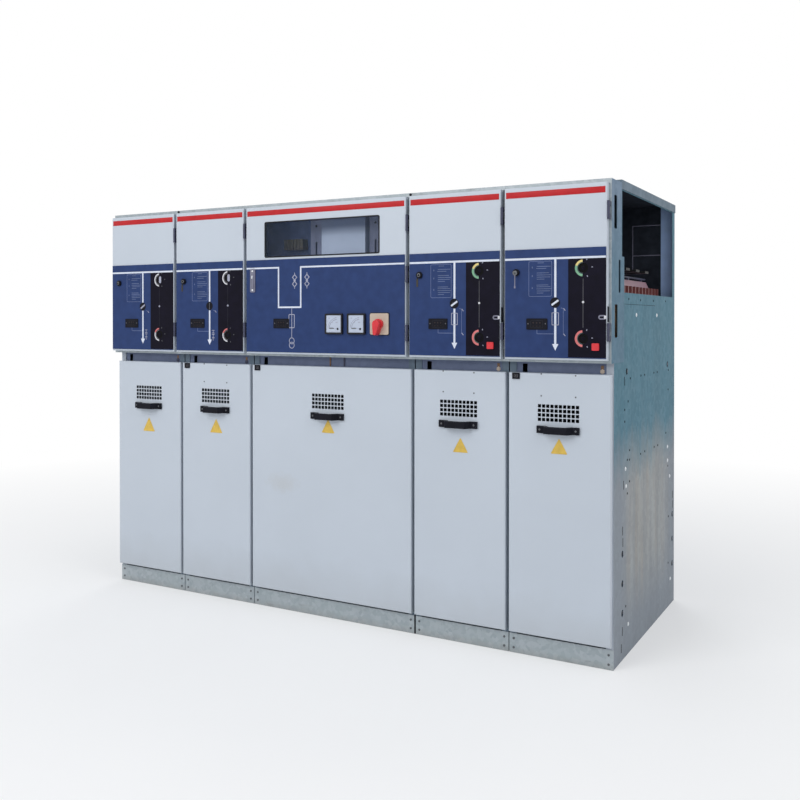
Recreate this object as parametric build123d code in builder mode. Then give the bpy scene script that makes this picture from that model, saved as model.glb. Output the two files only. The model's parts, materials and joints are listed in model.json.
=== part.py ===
from build123d import *
import os

# A row of five switchgear cubicles in millimetres: front towards -Y, standing on Z = 0.
narrow_width = 375
wide_width = 750
cubicle_widths = (narrow_width, narrow_width, wide_width, narrow_width, narrow_width)
metering_number = 3
fused_numbers = (4, 5)

# Sheet thicknesses, laps and the overrun of cuts
side_sheet = 2.5
box_sheet = 2
cover_sheet = 2
door_sheet = 1.5
panel_sheet = 2.5
lap_gap = 0.3
joint_gap = 0.3
overrun = 5

# Heights
plinth_height = 68
lower_door_clearance = 10
lower_door_height = 908
service_gap = 38
box_height = 610
roof_rise = 11
roof_skirt = 32
sill_rise = 226

# Depths
side_depth = 890
box_projection = 37
box_depth = 122
upper_door_depth = 21
lower_door_depth = 22

# Side plates and the frames above them
flange_width = 30
front_flange_width = 25
frame_flange_width = 56
opening_front_strip = 8
opening_rear_strip = 40
opening_low_strip = 12
opening_high_strip = 33
coupling_radius = 12
coupling_front_inset = 108
coupling_rear_inset = 32
coupling_heights = (161, 263, 365)
coupling_top_height = 989
coupling_top_insets = (159, 124)
floor_bolt_radius = 7
floor_bolt_inset = 60
floor_bolt_offset = 13

# Hooks that carry the lower doors
hook_sheet = 3
hook_offset = 14
hook_height = 24
hook_drop = 12
hook_reach = 8
hook_lift = 36
hook_slot_width = 7
hook_low_rise = 130
hook_high_drop = 170

# Floor, plinth, cross bars and rear covers
floor_seat = 7
cable_slot_share = 0.62
cable_slot_depth = 260
rear_cover_margin = 4
plinth_end_gap = 1.5
crossbar_overlap = 26
crossbar_depth = 30
crossbar_cut_offset = 58
crossbar_cut_width = 18
crossbar_cut_height = 30
busbar_floor_lip = 25

# Epoxy switch bodies and busbars
switch_width = 300
switch_depth = 690
switch_front_gap = 70
switch_corner = 30
switch_flange = 16
dome_low_width = 250
dome_low_depth = 560
dome_high_width = 210
dome_high_depth = 515
dome_height = 54
rib_count = 13
rib_width = 9
rib_pitch = 50
rib_span = 276
rib_height = 28
bushing_pitch = 135
bushing_forward = 72
bushing_radius = 34
bushing_neck_radius = 22
bushing_height = 18
bushing_skirts = 2
terminal_radius = 15
terminal_height = 9
busbar_width = 50
busbar_thickness = 9
busbar_corner = 3
busbar_end_gap = 36

# Instrument boxes
box_flange = 14
lap_length = 30
lap_height = 360
slot_corner = 6
slot_height = 111
slot_widths = (34, 34, 22)
slot_front_insets = (30, 38, 84)
slot_rises = (448, 85, 236)

# Pieces inside the boxes
mechanism_inset = 12
mechanism_sheet = 3
mechanism_depth = 78
mechanism_flange = 26
mechanism_height = 150
mechanism_rise = 66
upright_left_shares = (0.322, 0.69)
upright_width = 55
upright_depth = 26
upright_end_gap = 20
upright_slot_width = 8
upright_slot_height = 60
upright_slot_rise = 398
board_shares = (0.41, 0.68)
board_height = 196
board_rise = 360
board_depth = 46
terminal_share = 0.215
terminal_count = 6
terminal_pitch = 16
terminal_body = 13
terminal_block_height = 42
terminal_depth = 34
terminal_base = 8
terminal_rise = 430

# Instrument doors and their hinges
door_left_gap = 5
door_right_gap = 9
door_low_gap = 9
door_high_gap = 14
bend_radius = 2.5
narrow_hinge_shares = (0.161, 0.843)
wide_hinge_shares = (0.148, 0.515, 0.835)
hinge_height = 60
hinge_end_height = 17
hinge_gap = 0.5
hinge_radius = 4.5
hinge_inset = 4
hinge_stand = 2
hinge_leaf = 3
pin_radius = 2
pin_clearance = 0.06
hinge_leaf_back = 9

# Panels on the instrument doors
panel_margin = 3
panel_low_margin = 7
panel_height = 368
operating_width = 128
operating_height = 330
operating_low_margin = 3
seam_gap = 0.4
well_radius = 17
well_right_inset = 77
well_heights = (66, 300)
indicator_radius = 17.5
indicator_inset = 46
indicator_height = 186
lock_radius = 12
lock_proud = 9
lock_inset = 42
lock_height = 290
display_width = 75
display_height = 38
display_depth = 3
display_corner = 3
display_offset = 64
display_rise = 114
narrow_lock_groove = 3
catch_width = 24
catch_length = 94
catch_depth = 4
catch_corner = 5
catch_inset = 33
catch_rise = 286
wide_display_inset = 174

# Trip buttons
button_size = 24
button_proud = 6
button_tail = 3
button_corner = 3
button_clearance = 0.4
button_right_inset = 34
button_height = 39

# Viewing window, meters and selector of the metering cubicle
window_left_share = 0.133
window_right_share = 0.838
window_height = 139
window_rise = 385
window_corner = 9
pane_overlap = 10
pane_thickness = 3
meter_size = 79
meter_depth = 9
meter_corner = 4
meter_rim = 6
meter_recess = 2.5
meter_shares = (0.576, 0.71)
meter_rise = 113
selector_share = 0.843
selector_plate_depth = 5
selector_corner = 6
knob_radius = 19
knob_reach = 28
knob_grip_length = 34
knob_grip_radius = 8
knob_grip_angle = 262
knob_head_radius = 15
knob_base = 11
knob_edge = 3

# Lower doors and handles
lower_door_side_gap = 6
lower_bend_radius = 5
vent_columns = 10
vent_rows = 4
vent_pitch_x = 15
vent_pitch_z = 15.4
vent_hole = 11.7
vent_rise = 772
handle_length = 150
handle_height = 25
handle_reach = 34
handle_pad = 22
handle_pad_depth = 9
handle_bar = 10
handle_slope = 14
handle_edge = 3
handle_rise = 715

# Planes that follow from the sizes above
row_width = sum(cubicle_widths)
front_reach = (box_projection + lap_gap + upper_door_depth + panel_sheet + selector_plate_depth
               + lap_gap + knob_reach)
rear_reach = side_depth + cover_sheet + lap_gap + cover_sheet
front_y = (front_reach - rear_reach) / 2
rear_y = front_y + side_depth
box_front_y = front_y - box_projection
box_rear_y = box_front_y + box_depth
upper_door_back_y = box_front_y - lap_gap
upper_door_front_y = upper_door_back_y - upper_door_depth
panel_front_y = upper_door_front_y - panel_sheet
lower_door_back_y = front_y - lap_gap
lower_door_front_y = lower_door_back_y - lower_door_depth
frame_front_y = box_rear_y + lap_gap + cover_sheet + lap_gap
lower_door_z = plinth_height + lower_door_clearance
lower_door_top = lower_door_z + lower_door_height
box_z = lower_door_top + service_gap
box_top = box_z + box_height
roof_top = box_top + roof_rise
roof_under = roof_top - cover_sheet
sill_z = box_z + sill_rise
plate_inset = joint_gap / 2 + box_sheet + lap_gap
inner_inset = plate_inset + side_sheet + lap_gap
upper_door_z = box_z + door_low_gap
upper_door_height = box_height - door_low_gap - door_high_gap
panel_z = upper_door_z + panel_low_margin
switch_y = frame_front_y + switch_front_gap + switch_depth / 2
bushing_row_y = [switch_y - bushing_forward + step * bushing_pitch for step in (-1, 0, 1)]
bushing_z = sill_z + switch_flange + dome_height
busbar_z = bushing_z + bushing_height + terminal_height
hook_heights = (lower_door_z + hook_low_rise, lower_door_top - hook_high_drop)
hinge_y = upper_door_front_y - hinge_stand

cubicles = []
left_edge = -row_width / 2
for number, width in enumerate(cubicle_widths, start=1):
    cubicles.append((number, left_edge, width))
    left_edge += width
narrow_cubicles = [cubicle for cubicle in cubicles if cubicle[0] != metering_number]
metering_left, metering_width = cubicles[metering_number - 1][1:]

os.makedirs("parts", exist_ok=True)


# A sketch plane that looks out of the front at the given depth
def facing_front(y):
    return Plane.XZ.offset(-y)


# A sketch plane that looks out of the right-hand end at the given place
def facing_right(x):
    return Plane.YZ.offset(x)


# A node of one or more solids, written to its own file
def save(solids, label):
    with BuildPart() as node:
        add(solids)
    node.part.label = label
    export_step(node.part, f"parts/{label}.step")


# Lower side plate: a folded sheet with front, rear and floor flanges turned inwards
def side_plate(outer_x, inward):
    notch_z = box_z - lap_gap
    with BuildPart() as plate:
        with BuildSketch(facing_right(outer_x)):
            with BuildLine():
                Polyline(
                    (front_y, 0), (rear_y, 0), (rear_y, sill_z), (frame_front_y, sill_z),
                    (frame_front_y, notch_z), (front_y, notch_z), close=True,
                )
            make_face()
        extrude(amount=inward * side_sheet)
        with BuildSketch(Plane.XY):
            with Locations((outer_x + inward * front_flange_width / 2, front_y + side_sheet / 2)):
                Rectangle(front_flange_width, side_sheet)
        extrude(amount=notch_z)
        with BuildSketch(Plane.XY):
            with Locations((outer_x + inward * flange_width / 2, rear_y - side_sheet / 2)):
                Rectangle(flange_width, side_sheet)
        extrude(amount=sill_z)
        with BuildSketch(Plane.XY):
            with Locations((outer_x + inward * flange_width / 2, front_y + side_depth / 2)):
                Rectangle(flange_width, side_depth)
        extrude(amount=side_sheet)
        with BuildSketch(facing_right(outer_x)):
            for height in coupling_heights:
                with Locations((front_y + coupling_front_inset, height),
                               (rear_y - coupling_rear_inset, height)):
                    Circle(coupling_radius)
            with Locations((front_y + coupling_top_insets[0], coupling_top_height),
                           (rear_y - coupling_top_insets[1], coupling_top_height)):
                Circle(coupling_radius)
        extrude(amount=overrun, both=True, mode=Mode.SUBTRACT)
        with BuildSketch(Plane.XY):
            with Locations((outer_x + inward * floor_bolt_offset, front_y + floor_bolt_inset),
                           (outer_x + inward * floor_bolt_offset, rear_y - floor_bolt_inset)):
                Circle(floor_bolt_radius)
        extrude(amount=overrun, both=True, mode=Mode.SUBTRACT)
        with BuildSketch(facing_front(front_y)):
            slot_height_clear = hook_height / 2 + hook_lift + lap_gap
            for height in hook_heights:
                with Locations((outer_x + inward * hook_offset, height - lap_gap + slot_height_clear / 2)):
                    Rectangle(hook_slot_width, slot_height_clear)
        extrude(amount=overrun, both=True, mode=Mode.SUBTRACT)
    return plate.part


# Side frame of the busbar compartment: a sheet with one large opening and a rear flange
def busbar_frame(outer_x, inward):
    with BuildPart() as frame:
        with BuildSketch(facing_right(outer_x)):
            with Locations(((frame_front_y + rear_y) / 2, (sill_z + roof_under) / 2)):
                Rectangle(rear_y - frame_front_y, roof_under - sill_z)
            opening_y = (frame_front_y + opening_front_strip, rear_y - opening_rear_strip)
            opening_z = (sill_z + opening_low_strip, roof_under - opening_high_strip)
            with Locations((sum(opening_y) / 2, sum(opening_z) / 2)):
                Rectangle(opening_y[1] - opening_y[0], opening_z[1] - opening_z[0], mode=Mode.SUBTRACT)
        extrude(amount=inward * side_sheet)
        with BuildSketch(Plane.XY.offset(sill_z)):
            with Locations((outer_x + inward * frame_flange_width / 2, rear_y - side_sheet / 2)):
                Rectangle(frame_flange_width, side_sheet)
        extrude(amount=roof_under - sill_z)
    return frame.part


side_plates = []
busbar_frames = []
for number, left, width in cubicles:
    for outer_x, inward in ((left + plate_inset, 1), (left + width - plate_inset, -1)):
        side_plates.append(side_plate(outer_x, inward))
        busbar_frames.append(busbar_frame(outer_x, inward))
save(side_plates, "side_plates")
save(busbar_frames, "busbar_frames")


# Roof cover: a lid over the busbar compartment with its skirt turned down
def roof_cover(left, width):
    cover_front_y = box_rear_y + lap_gap
    cover_rear_y = front_y + rear_reach
    with BuildPart() as cover:
        with BuildSketch(Plane.XY.offset(roof_top - roof_skirt)):
            with Locations((left + width / 2, (cover_front_y + cover_rear_y) / 2)):
                Rectangle(width - joint_gap, cover_rear_y - cover_front_y)
        extrude(amount=roof_skirt)
        offset(amount=-cover_sheet, openings=cover.faces().sort_by(Axis.Z)[0])
    return cover.part


# Inverted tray that floors the busbar compartment and carries the switch body
def busbar_floor(left, width):
    floor_front_y = frame_front_y + lap_gap
    floor_rear_y = rear_y - side_sheet - lap_gap
    with BuildPart() as tray:
        with BuildSketch(Plane.XY.offset(sill_z - busbar_floor_lip)):
            with Locations((left + width / 2, (floor_front_y + floor_rear_y) / 2)):
                Rectangle(width - 2 * inner_inset, floor_rear_y - floor_front_y)
        extrude(amount=busbar_floor_lip)
        offset(amount=-cover_sheet, openings=tray.faces().sort_by(Axis.Z)[0])
    return tray.part


# Floor plate with one slot for the cables, resting on the floor flanges of the side plates
def floor_plate(left, width):
    floor_inset = plate_inset + flange_width - floor_seat
    floor_front_y = front_y + side_sheet + lap_gap
    floor_rear_y = rear_y - side_sheet - lap_gap
    with BuildPart() as plate:
        with BuildSketch(Plane.XY.offset(side_sheet)):
            with Locations((left + width / 2, (floor_front_y + floor_rear_y) / 2)):
                Rectangle(width - 2 * floor_inset, floor_rear_y - floor_front_y)
                Rectangle(width * cable_slot_share, cable_slot_depth, mode=Mode.SUBTRACT)
        extrude(amount=cover_sheet)
    return plate.part


# Channel across the front behind the gap between the lower door and the instrument box
def crossbar(left, width):
    bar_y = front_y + side_sheet + lap_gap
    bar_z = lower_door_top - crossbar_overlap
    bar_top = box_z - lap_gap
    with BuildPart() as bar:
        with BuildSketch(facing_right(left + inner_inset)):
            with BuildLine():
                Polyline(
                    (bar_y, bar_z), (bar_y + crossbar_depth, bar_z),
                    (bar_y + crossbar_depth, bar_z + cover_sheet), (bar_y + cover_sheet, bar_z + cover_sheet),
                    (bar_y + cover_sheet, bar_top - cover_sheet),
                    (bar_y + crossbar_depth, bar_top - cover_sheet), (bar_y + crossbar_depth, bar_top),
                    (bar_y, bar_top), close=True,
                )
            make_face()
        extrude(amount=width - 2 * inner_inset)
        with BuildSketch(facing_front(bar_y)):
            with Locations((left + crossbar_cut_offset, lower_door_top + crossbar_cut_height / 2)):
                Rectangle(crossbar_cut_width, crossbar_cut_height)
        extrude(amount=overrun, both=True, mode=Mode.SUBTRACT)
    return bar.part


# Flat cover on the rear flanges, between the two heights given
def rear_cover(left, width, low, high):
    with BuildPart() as cover:
        with BuildSketch(facing_front(rear_y)):
            with Locations((left + width / 2, (low + high) / 2)):
                Rectangle(width - 2 * rear_cover_margin, high - low)
        extrude(amount=-cover_sheet)
    return cover.part


# Kick plate across the foot of the cubicle
def plinth_front(left, width):
    with BuildPart() as plate:
        with BuildSketch(facing_front(front_y)):
            with Locations((left + width / 2, plinth_height / 2)):
                Rectangle(width - 2 * plinth_end_gap, plinth_height)
        extrude(amount=cover_sheet)
    return plate.part


rear_covers = []
for number, left, width in cubicles:
    rear_covers.append(rear_cover(left, width, plinth_height, sill_z - rear_cover_margin))
    rear_covers.append(rear_cover(left, width, sill_z + rear_cover_margin, roof_top - roof_skirt - lap_gap))
save(rear_covers, "rear_covers")
save([roof_cover(left, width) for number, left, width in cubicles], "roof_covers")
save([busbar_floor(left, width) for number, left, width in cubicles], "busbar_floors")
save([floor_plate(left, width) for number, left, width in cubicles], "floor_plates")
save([crossbar(left, width) for number, left, width in cubicles], "crossbars")
save([plinth_front(left, width) for number, left, width in cubicles], "plinth_fronts")


# Epoxy switch body: flange, ribbed dome and three skirted bushings with their terminals
def switch_body(center_x):
    center = (center_x, switch_y)
    dome_z = sill_z + switch_flange
    with BuildPart() as body:
        with BuildSketch(Plane.XY.offset(sill_z)):
            with Locations(center):
                RectangleRounded(switch_width, switch_depth, switch_corner)
        extrude(amount=switch_flange)
        with BuildSketch(Plane.XY.offset(dome_z)):
            with Locations(center):
                RectangleRounded(dome_low_width, dome_low_depth, switch_corner)
        with BuildSketch(Plane.XY.offset(dome_z + dome_height)):
            with Locations(center):
                RectangleRounded(dome_high_width, dome_high_depth, switch_corner)
        loft()
        with BuildSketch(Plane.XY.offset(dome_z)):
            with Locations(center):
                with GridLocations(rib_span, rib_pitch, 1, rib_count):
                    Rectangle(rib_span, rib_width)
        extrude(amount=rib_height)
        for bushing_y in bushing_row_y:
            skirt_height = bushing_height / bushing_skirts
            outline = [(0, 0)]
            for skirt in range(bushing_skirts):
                outline.append((bushing_radius, skirt * skirt_height))
                outline.append((bushing_neck_radius, (skirt + 1) * skirt_height))
            outline.append((terminal_radius, bushing_height))
            outline.append((terminal_radius, bushing_height + terminal_height))
            outline.append((0, bushing_height + terminal_height))
            with BuildSketch(Plane((center_x, bushing_y, bushing_z), x_dir=(1, 0, 0), z_dir=(0, -1, 0))):
                with BuildLine():
                    Polyline(*outline, close=True)
                make_face()
            revolve(axis=Axis((center_x, bushing_y, bushing_z), (0, 0, 1)))
    return body.part


save([switch_body(left + width / 2) for number, left, width in narrow_cubicles], "switch_bodies")

with BuildPart() as busbars:
    with BuildSketch(facing_right(busbar_end_gap - row_width / 2)):
        for bushing_y in bushing_row_y:
            with Locations((bushing_y, busbar_z + busbar_thickness / 2)):
                RectangleRounded(busbar_width, busbar_thickness, busbar_corner)
    extrude(amount=row_width - 2 * busbar_end_gap)
save(busbars.part, "busbars")


# Instrument box: a channel with lips at its open front, closed at both ends by side walls
def instrument_box(left, width):
    with BuildPart() as box:
        with BuildSketch(facing_right(left + joint_gap / 2 + box_sheet)):
            with Locations(((box_front_y + box_rear_y) / 2, box_z + box_height / 2)):
                Rectangle(box_depth, box_height)
                Rectangle(box_depth - 2 * box_sheet, box_height - 2 * box_sheet, mode=Mode.SUBTRACT)
            with Locations((box_front_y, box_z + box_height / 2)):
                Rectangle(2 * box_sheet, box_height - 2 * box_flange, mode=Mode.SUBTRACT)
        extrude(amount=width - joint_gap - 2 * box_sheet)
    return box.part


# Side wall of a box: wiring slots, a lap on the side plate behind it and a folded front flange
def box_side(outer_x, inward):
    with BuildPart() as side:
        with BuildSketch(facing_right(outer_x)):
            with Locations(((box_front_y + box_rear_y) / 2, box_z + box_height / 2)):
                Rectangle(box_depth, box_height)
            with Locations((box_rear_y + lap_length / 2, box_z + lap_height / 2)):
                Rectangle(lap_length, lap_height)
            for slot_width, inset, rise in zip(slot_widths, slot_front_insets, slot_rises):
                with Locations((box_front_y + inset + slot_width / 2, box_z + rise + slot_height / 2)):
                    RectangleRounded(slot_width, slot_height, slot_corner, mode=Mode.SUBTRACT)
        extrude(amount=inward * box_sheet)
        with BuildSketch(facing_front(box_front_y + box_sheet)):
            with Locations((outer_x + inward * box_flange / 2, box_z + box_height / 2)):
                Rectangle(box_flange, box_height - 2 * box_flange)
        extrude(amount=box_sheet)
    return side.part


save([instrument_box(left, width) for number, left, width in narrow_cubicles], "instrument_boxes")
save(instrument_box(metering_left, metering_width), "metering_box")
box_sides = []
for number, left, width in cubicles:
    for outer_x, inward in ((left + joint_gap / 2, 1), (left + width - joint_gap / 2, -1)):
        box_sides.append(box_side(outer_x, inward))
save([box_sides[0], box_sides[-1]], "end_box_sides")
save(box_sides[1:-1], "inner_box_sides")


# Plated mechanism bracket on the back wall, seen through the wiring slots
def mechanism_bracket(left, width):
    back_y = box_rear_y - box_sheet
    web_x = left + width - mechanism_inset
    with BuildPart() as bracket:
        with BuildSketch(Plane.XY.offset(box_z + mechanism_rise)):
            with BuildLine():
                Polyline(
                    (web_x, back_y), (web_x - mechanism_flange, back_y),
                    (web_x - mechanism_flange, back_y - mechanism_sheet),
                    (web_x - mechanism_sheet, back_y - mechanism_sheet),
                    (web_x - mechanism_sheet, back_y - mechanism_depth + mechanism_sheet),
                    (web_x - mechanism_flange, back_y - mechanism_depth + mechanism_sheet),
                    (web_x - mechanism_flange, back_y - mechanism_depth),
                    (web_x, back_y - mechanism_depth), close=True,
                )
            make_face()
        extrude(amount=mechanism_height)
    return bracket.part


save([mechanism_bracket(left, width) for number, left, width in narrow_cubicles], "mechanism_brackets")


# Channel upright on the back wall of the metering box, with a cable slot behind the window
def meter_upright(left_share):
    back_y = box_rear_y - box_sheet
    upright_x = metering_left + metering_width * left_share + upright_width / 2
    with BuildPart() as upright:
        with BuildSketch(Plane.XY.offset(box_z + upright_end_gap)):
            with Locations((upright_x, back_y - upright_depth / 2)):
                Rectangle(upright_width, upright_depth)
            with Locations((upright_x, back_y - upright_depth / 2 + box_sheet / 2)):
                Rectangle(upright_width - 2 * box_sheet, upright_depth - box_sheet, mode=Mode.SUBTRACT)
        extrude(amount=box_height - 2 * upright_end_gap)
        with BuildSketch(facing_front(back_y)):
            with Locations((upright_x, box_z + upright_slot_rise + upright_slot_height / 2)):
                SlotOverall(upright_slot_height, upright_slot_width, rotation=90)
        extrude(amount=upright_depth, mode=Mode.SUBTRACT)
    return upright.part


save([meter_upright(left_share) for left_share in upright_left_shares], "meter_uprights")

with BuildPart() as meter_board:
    board_left, board_right = (metering_left + metering_width * share for share in board_shares)
    with BuildSketch(facing_front(box_rear_y - box_sheet)):
        with Locations(((board_left + board_right) / 2, box_z + board_rise + board_height / 2)):
            Rectangle(board_right - board_left, board_height)
    extrude(amount=board_depth)
    offset(amount=-box_sheet, openings=meter_board.faces().sort_by(Axis.Y)[-1])
save(meter_board.part, "meter_board")

with BuildPart() as terminal_block:
    block_x = metering_left + metering_width * terminal_share
    block_z = box_z + terminal_rise + terminal_block_height / 2
    with BuildSketch(facing_front(box_rear_y - box_sheet)):
        with Locations((block_x, block_z)):
            Rectangle(terminal_count * terminal_pitch, terminal_block_height)
    extrude(amount=terminal_base)
    with BuildSketch(facing_front(box_rear_y - box_sheet - terminal_base)):
        with Locations((block_x, block_z)):
            with GridLocations(terminal_pitch, 0, terminal_count, 1):
                Rectangle(terminal_body, terminal_block_height)
    extrude(amount=terminal_depth - terminal_base)
save(terminal_block.part, "terminal_block")


# Heights of the middle of each hinge on a door
def hinge_heights(width):
    shares = wide_hinge_shares if width == metering_width else narrow_hinge_shares
    return [upper_door_z + upper_door_height * share for share in shares]


# Fixed half of a hinge: two knuckles, the pin and the leaf back to the box flange
def fixed_hinge(axis_x, middle_z):
    low_z = middle_z - hinge_height / 2
    with BuildPart() as hinge:
        for end_z in (low_z, low_z + hinge_height - hinge_end_height):
            with BuildSketch(Plane.XY.offset(end_z)):
                with Locations((axis_x, hinge_y)):
                    Circle(hinge_radius)
                with Locations((axis_x, (hinge_y + box_front_y) / 2)):
                    Rectangle(hinge_leaf, box_front_y - hinge_y)
            extrude(amount=hinge_end_height)
        with BuildSketch(Plane.XY.offset(low_z)):
            with Locations((axis_x, hinge_y)):
                Circle(pin_radius)
        extrude(amount=hinge_height)
    return hinge.part


fixed_hinges = []
for number, left, width in cubicles:
    for height in hinge_heights(width):
        fixed_hinges.append(fixed_hinge(left + width - hinge_inset, height))
save(fixed_hinges, "fixed_hinges")


# Instrument door: a folded tray with the moving hinge knuckles on its right-hand edge
def instrument_door(number, left, width):
    door_left = left + door_left_gap
    door_right = left + width - door_right_gap
    axis_x = left + width - hinge_inset
    with BuildPart() as door:
        with BuildSketch(facing_front(upper_door_back_y)):
            with Locations(((door_left + door_right) / 2, upper_door_z + upper_door_height / 2)):
                Rectangle(door_right - door_left, upper_door_height)
        extrude(amount=upper_door_depth)
        fillet(door.faces().sort_by(Axis.Y)[0].edges(), radius=bend_radius)
        offset(amount=-door_sheet, openings=door.faces().sort_by(Axis.Y)[-1])
        if number == metering_number:
            with BuildSketch(facing_front(upper_door_front_y)):
                with Locations((window_x, window_z)):
                    RectangleRounded(window_width, window_height, window_corner)
            extrude(amount=overrun, both=True, mode=Mode.SUBTRACT)
        if number in fused_numbers:
            with BuildSketch(facing_front(upper_door_front_y)):
                with Locations((door_right - panel_margin - button_right_inset, panel_z + button_height)):
                    Rectangle(button_size + 2 * button_clearance, button_size + 2 * button_clearance)
            extrude(amount=overrun, both=True, mode=Mode.SUBTRACT)
        knuckle_height = hinge_height - 2 * hinge_end_height - 2 * hinge_gap
        for height in hinge_heights(width):
            with BuildSketch(Plane.XY.offset(height - knuckle_height / 2)):
                with Locations((axis_x, hinge_y)):
                    Circle(hinge_radius)
                leaf_front = hinge_y
                leaf_back = upper_door_front_y + hinge_leaf_back
                with Locations(((door_right + axis_x) / 2, (leaf_front + leaf_back) / 2)):
                    Rectangle(axis_x - door_right, leaf_back - leaf_front)
                with Locations((axis_x, hinge_y)):
                    Circle(pin_radius + pin_clearance, mode=Mode.SUBTRACT)
            extrude(amount=knuckle_height)
    return door.part


window_left = metering_left + metering_width * window_left_share
window_right = metering_left + metering_width * window_right_share
window_width = window_right - window_left
window_x = (window_left + window_right) / 2
window_z = upper_door_z + window_rise + window_height / 2
for number, left, width in cubicles:
    save(instrument_door(number, left, width), f"instrument_door_{number}")


# Mimic panel of a switch cubicle: the blue panel and the black operating plate let into it
def narrow_panel(number, left, width):
    panel_left = left + door_left_gap + panel_margin
    panel_right = left + width - door_right_gap - panel_margin
    operating_x = panel_right - operating_width / 2
    operating_z = panel_z + operating_low_margin + operating_height / 2
    with BuildPart() as panel:
        with BuildSketch(facing_front(upper_door_front_y)):
            with Locations(((panel_left + panel_right) / 2, panel_z + panel_height / 2)):
                Rectangle(panel_right - panel_left, panel_height)
            with Locations((operating_x, operating_z)):
                Rectangle(operating_width + 2 * seam_gap, operating_height + 2 * seam_gap, mode=Mode.SUBTRACT)
            with Locations((panel_right - operating_width - indicator_inset, panel_z + indicator_height)):
                Circle(indicator_radius + lap_gap, mode=Mode.SUBTRACT)
            with Locations((panel_left + lock_inset, panel_z + lock_height)):
                Circle(lock_radius + lap_gap, mode=Mode.SUBTRACT)
        extrude(amount=panel_sheet)
    with BuildPart() as plate:
        with BuildSketch(facing_front(upper_door_front_y)):
            with Locations((operating_x, operating_z)):
                Rectangle(operating_width, operating_height)
            for height in well_heights:
                with Locations((panel_right - well_right_inset, panel_z + height)):
                    Circle(well_radius, mode=Mode.SUBTRACT)
            if number in fused_numbers:
                with Locations((panel_right - button_right_inset, panel_z + button_height)):
                    Rectangle(button_size + 2 * button_clearance, button_size + 2 * button_clearance,
                              mode=Mode.SUBTRACT)
        extrude(amount=panel_sheet)
    return [panel.part, plate.part]


# Lock, round indicator and live display on a switch cubicle's panel
def narrow_fittings(left, width):
    panel_left = left + door_left_gap + panel_margin
    indicator_x = left + width - door_right_gap - panel_margin - operating_width - indicator_inset
    with BuildPart() as lock:
        with BuildSketch(facing_front(upper_door_front_y)):
            with Locations((panel_left + lock_inset, panel_z + lock_height)):
                Circle(lock_radius)
        extrude(amount=panel_sheet + lock_proud)
        chamfer(lock.faces().sort_by(Axis.Y)[0].edges(), length=narrow_lock_groove)
    with BuildPart() as indicator:
        with BuildSketch(facing_front(upper_door_front_y)):
            with Locations((indicator_x, panel_z + indicator_height)):
                Circle(indicator_radius)
        extrude(amount=panel_sheet)
    return [lock.part, indicator.part, display(indicator_x - display_offset)]


# Live display: a shallow case with rounded corners on the face of the panel
def display(center_x):
    with BuildPart() as case:
        with BuildSketch(facing_front(panel_front_y)):
            with Locations((center_x, panel_z + display_rise)):
                RectangleRounded(display_width, display_height, display_corner)
        extrude(amount=display_depth)
    return case.part


for number, left, width in narrow_cubicles:
    save(narrow_panel(number, left, width), f"mimic_panel_{number}")
    save(narrow_fittings(left, width), f"panel_fittings_{number}")

with BuildPart() as wide_panel:
    wide_panel_left = metering_left + door_left_gap + panel_margin
    wide_panel_right = metering_left + metering_width - door_right_gap - panel_margin
    with BuildSketch(facing_front(upper_door_front_y)):
        with Locations(((wide_panel_left + wide_panel_right) / 2, panel_z + panel_height / 2)):
            Rectangle(wide_panel_right - wide_panel_left, panel_height)
    extrude(amount=panel_sheet)
save(wide_panel.part, f"mimic_panel_{metering_number}")

with BuildPart() as catch:
    with BuildSketch(facing_front(panel_front_y)):
        with Locations((wide_panel_left + catch_inset, panel_z + catch_rise)):
            RectangleRounded(catch_width, catch_length, catch_corner)
    extrude(amount=catch_depth)
save([catch.part, display(wide_panel_left + wide_display_inset)], f"panel_fittings_{metering_number}")

with BuildPart() as window_pane:
    with BuildSketch(facing_front(upper_door_front_y + door_sheet + pane_thickness)):
        with Locations((window_x, window_z)):
            RectangleRounded(window_width + 2 * pane_overlap, window_height + 2 * pane_overlap, window_corner)
    extrude(amount=pane_thickness)
save(window_pane.part, "window_pane")

with BuildPart() as meters:
    meter_z = panel_z + meter_rise
    meter_places = [(metering_left + metering_width * share, meter_z) for share in meter_shares]
    with BuildSketch(facing_front(panel_front_y)):
        with Locations(*meter_places):
            RectangleRounded(meter_size, meter_size, meter_corner)
    extrude(amount=meter_depth)
    with BuildSketch(facing_front(panel_front_y - meter_depth)):
        with Locations(*meter_places):
            Rectangle(meter_size - 2 * meter_rim, meter_size - 2 * meter_rim)
    extrude(amount=-meter_recess, mode=Mode.SUBTRACT)
save(meters.part, "meters")

selector_x = metering_left + metering_width * selector_share
with BuildPart() as selector_plate:
    with BuildSketch(facing_front(panel_front_y)):
        with Locations((selector_x, meter_z)):
            RectangleRounded(meter_size, meter_size, selector_corner)
    extrude(amount=selector_plate_depth)
save(selector_plate.part, "selector_plate")

with BuildPart() as selector_knob:
    knob_back_y = panel_front_y - selector_plate_depth - lap_gap
    knob_plane = Plane((selector_x, knob_back_y, meter_z), x_dir=(1, 0, 0), z_dir=(0, -1, 0))
    with BuildSketch(knob_plane):
        Circle(knob_radius)
    extrude(amount=knob_base)
    with BuildSketch(knob_plane):
        Circle(knob_head_radius)
        with PolarLocations(knob_grip_length, 1, start_angle=knob_grip_angle):
            Circle(knob_grip_radius)
        make_hull()
    extrude(amount=knob_reach)
    fillet(selector_knob.faces().sort_by(Axis.Y)[0].edges(), radius=knob_edge)
save(selector_knob.part, "selector_knob")

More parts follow.
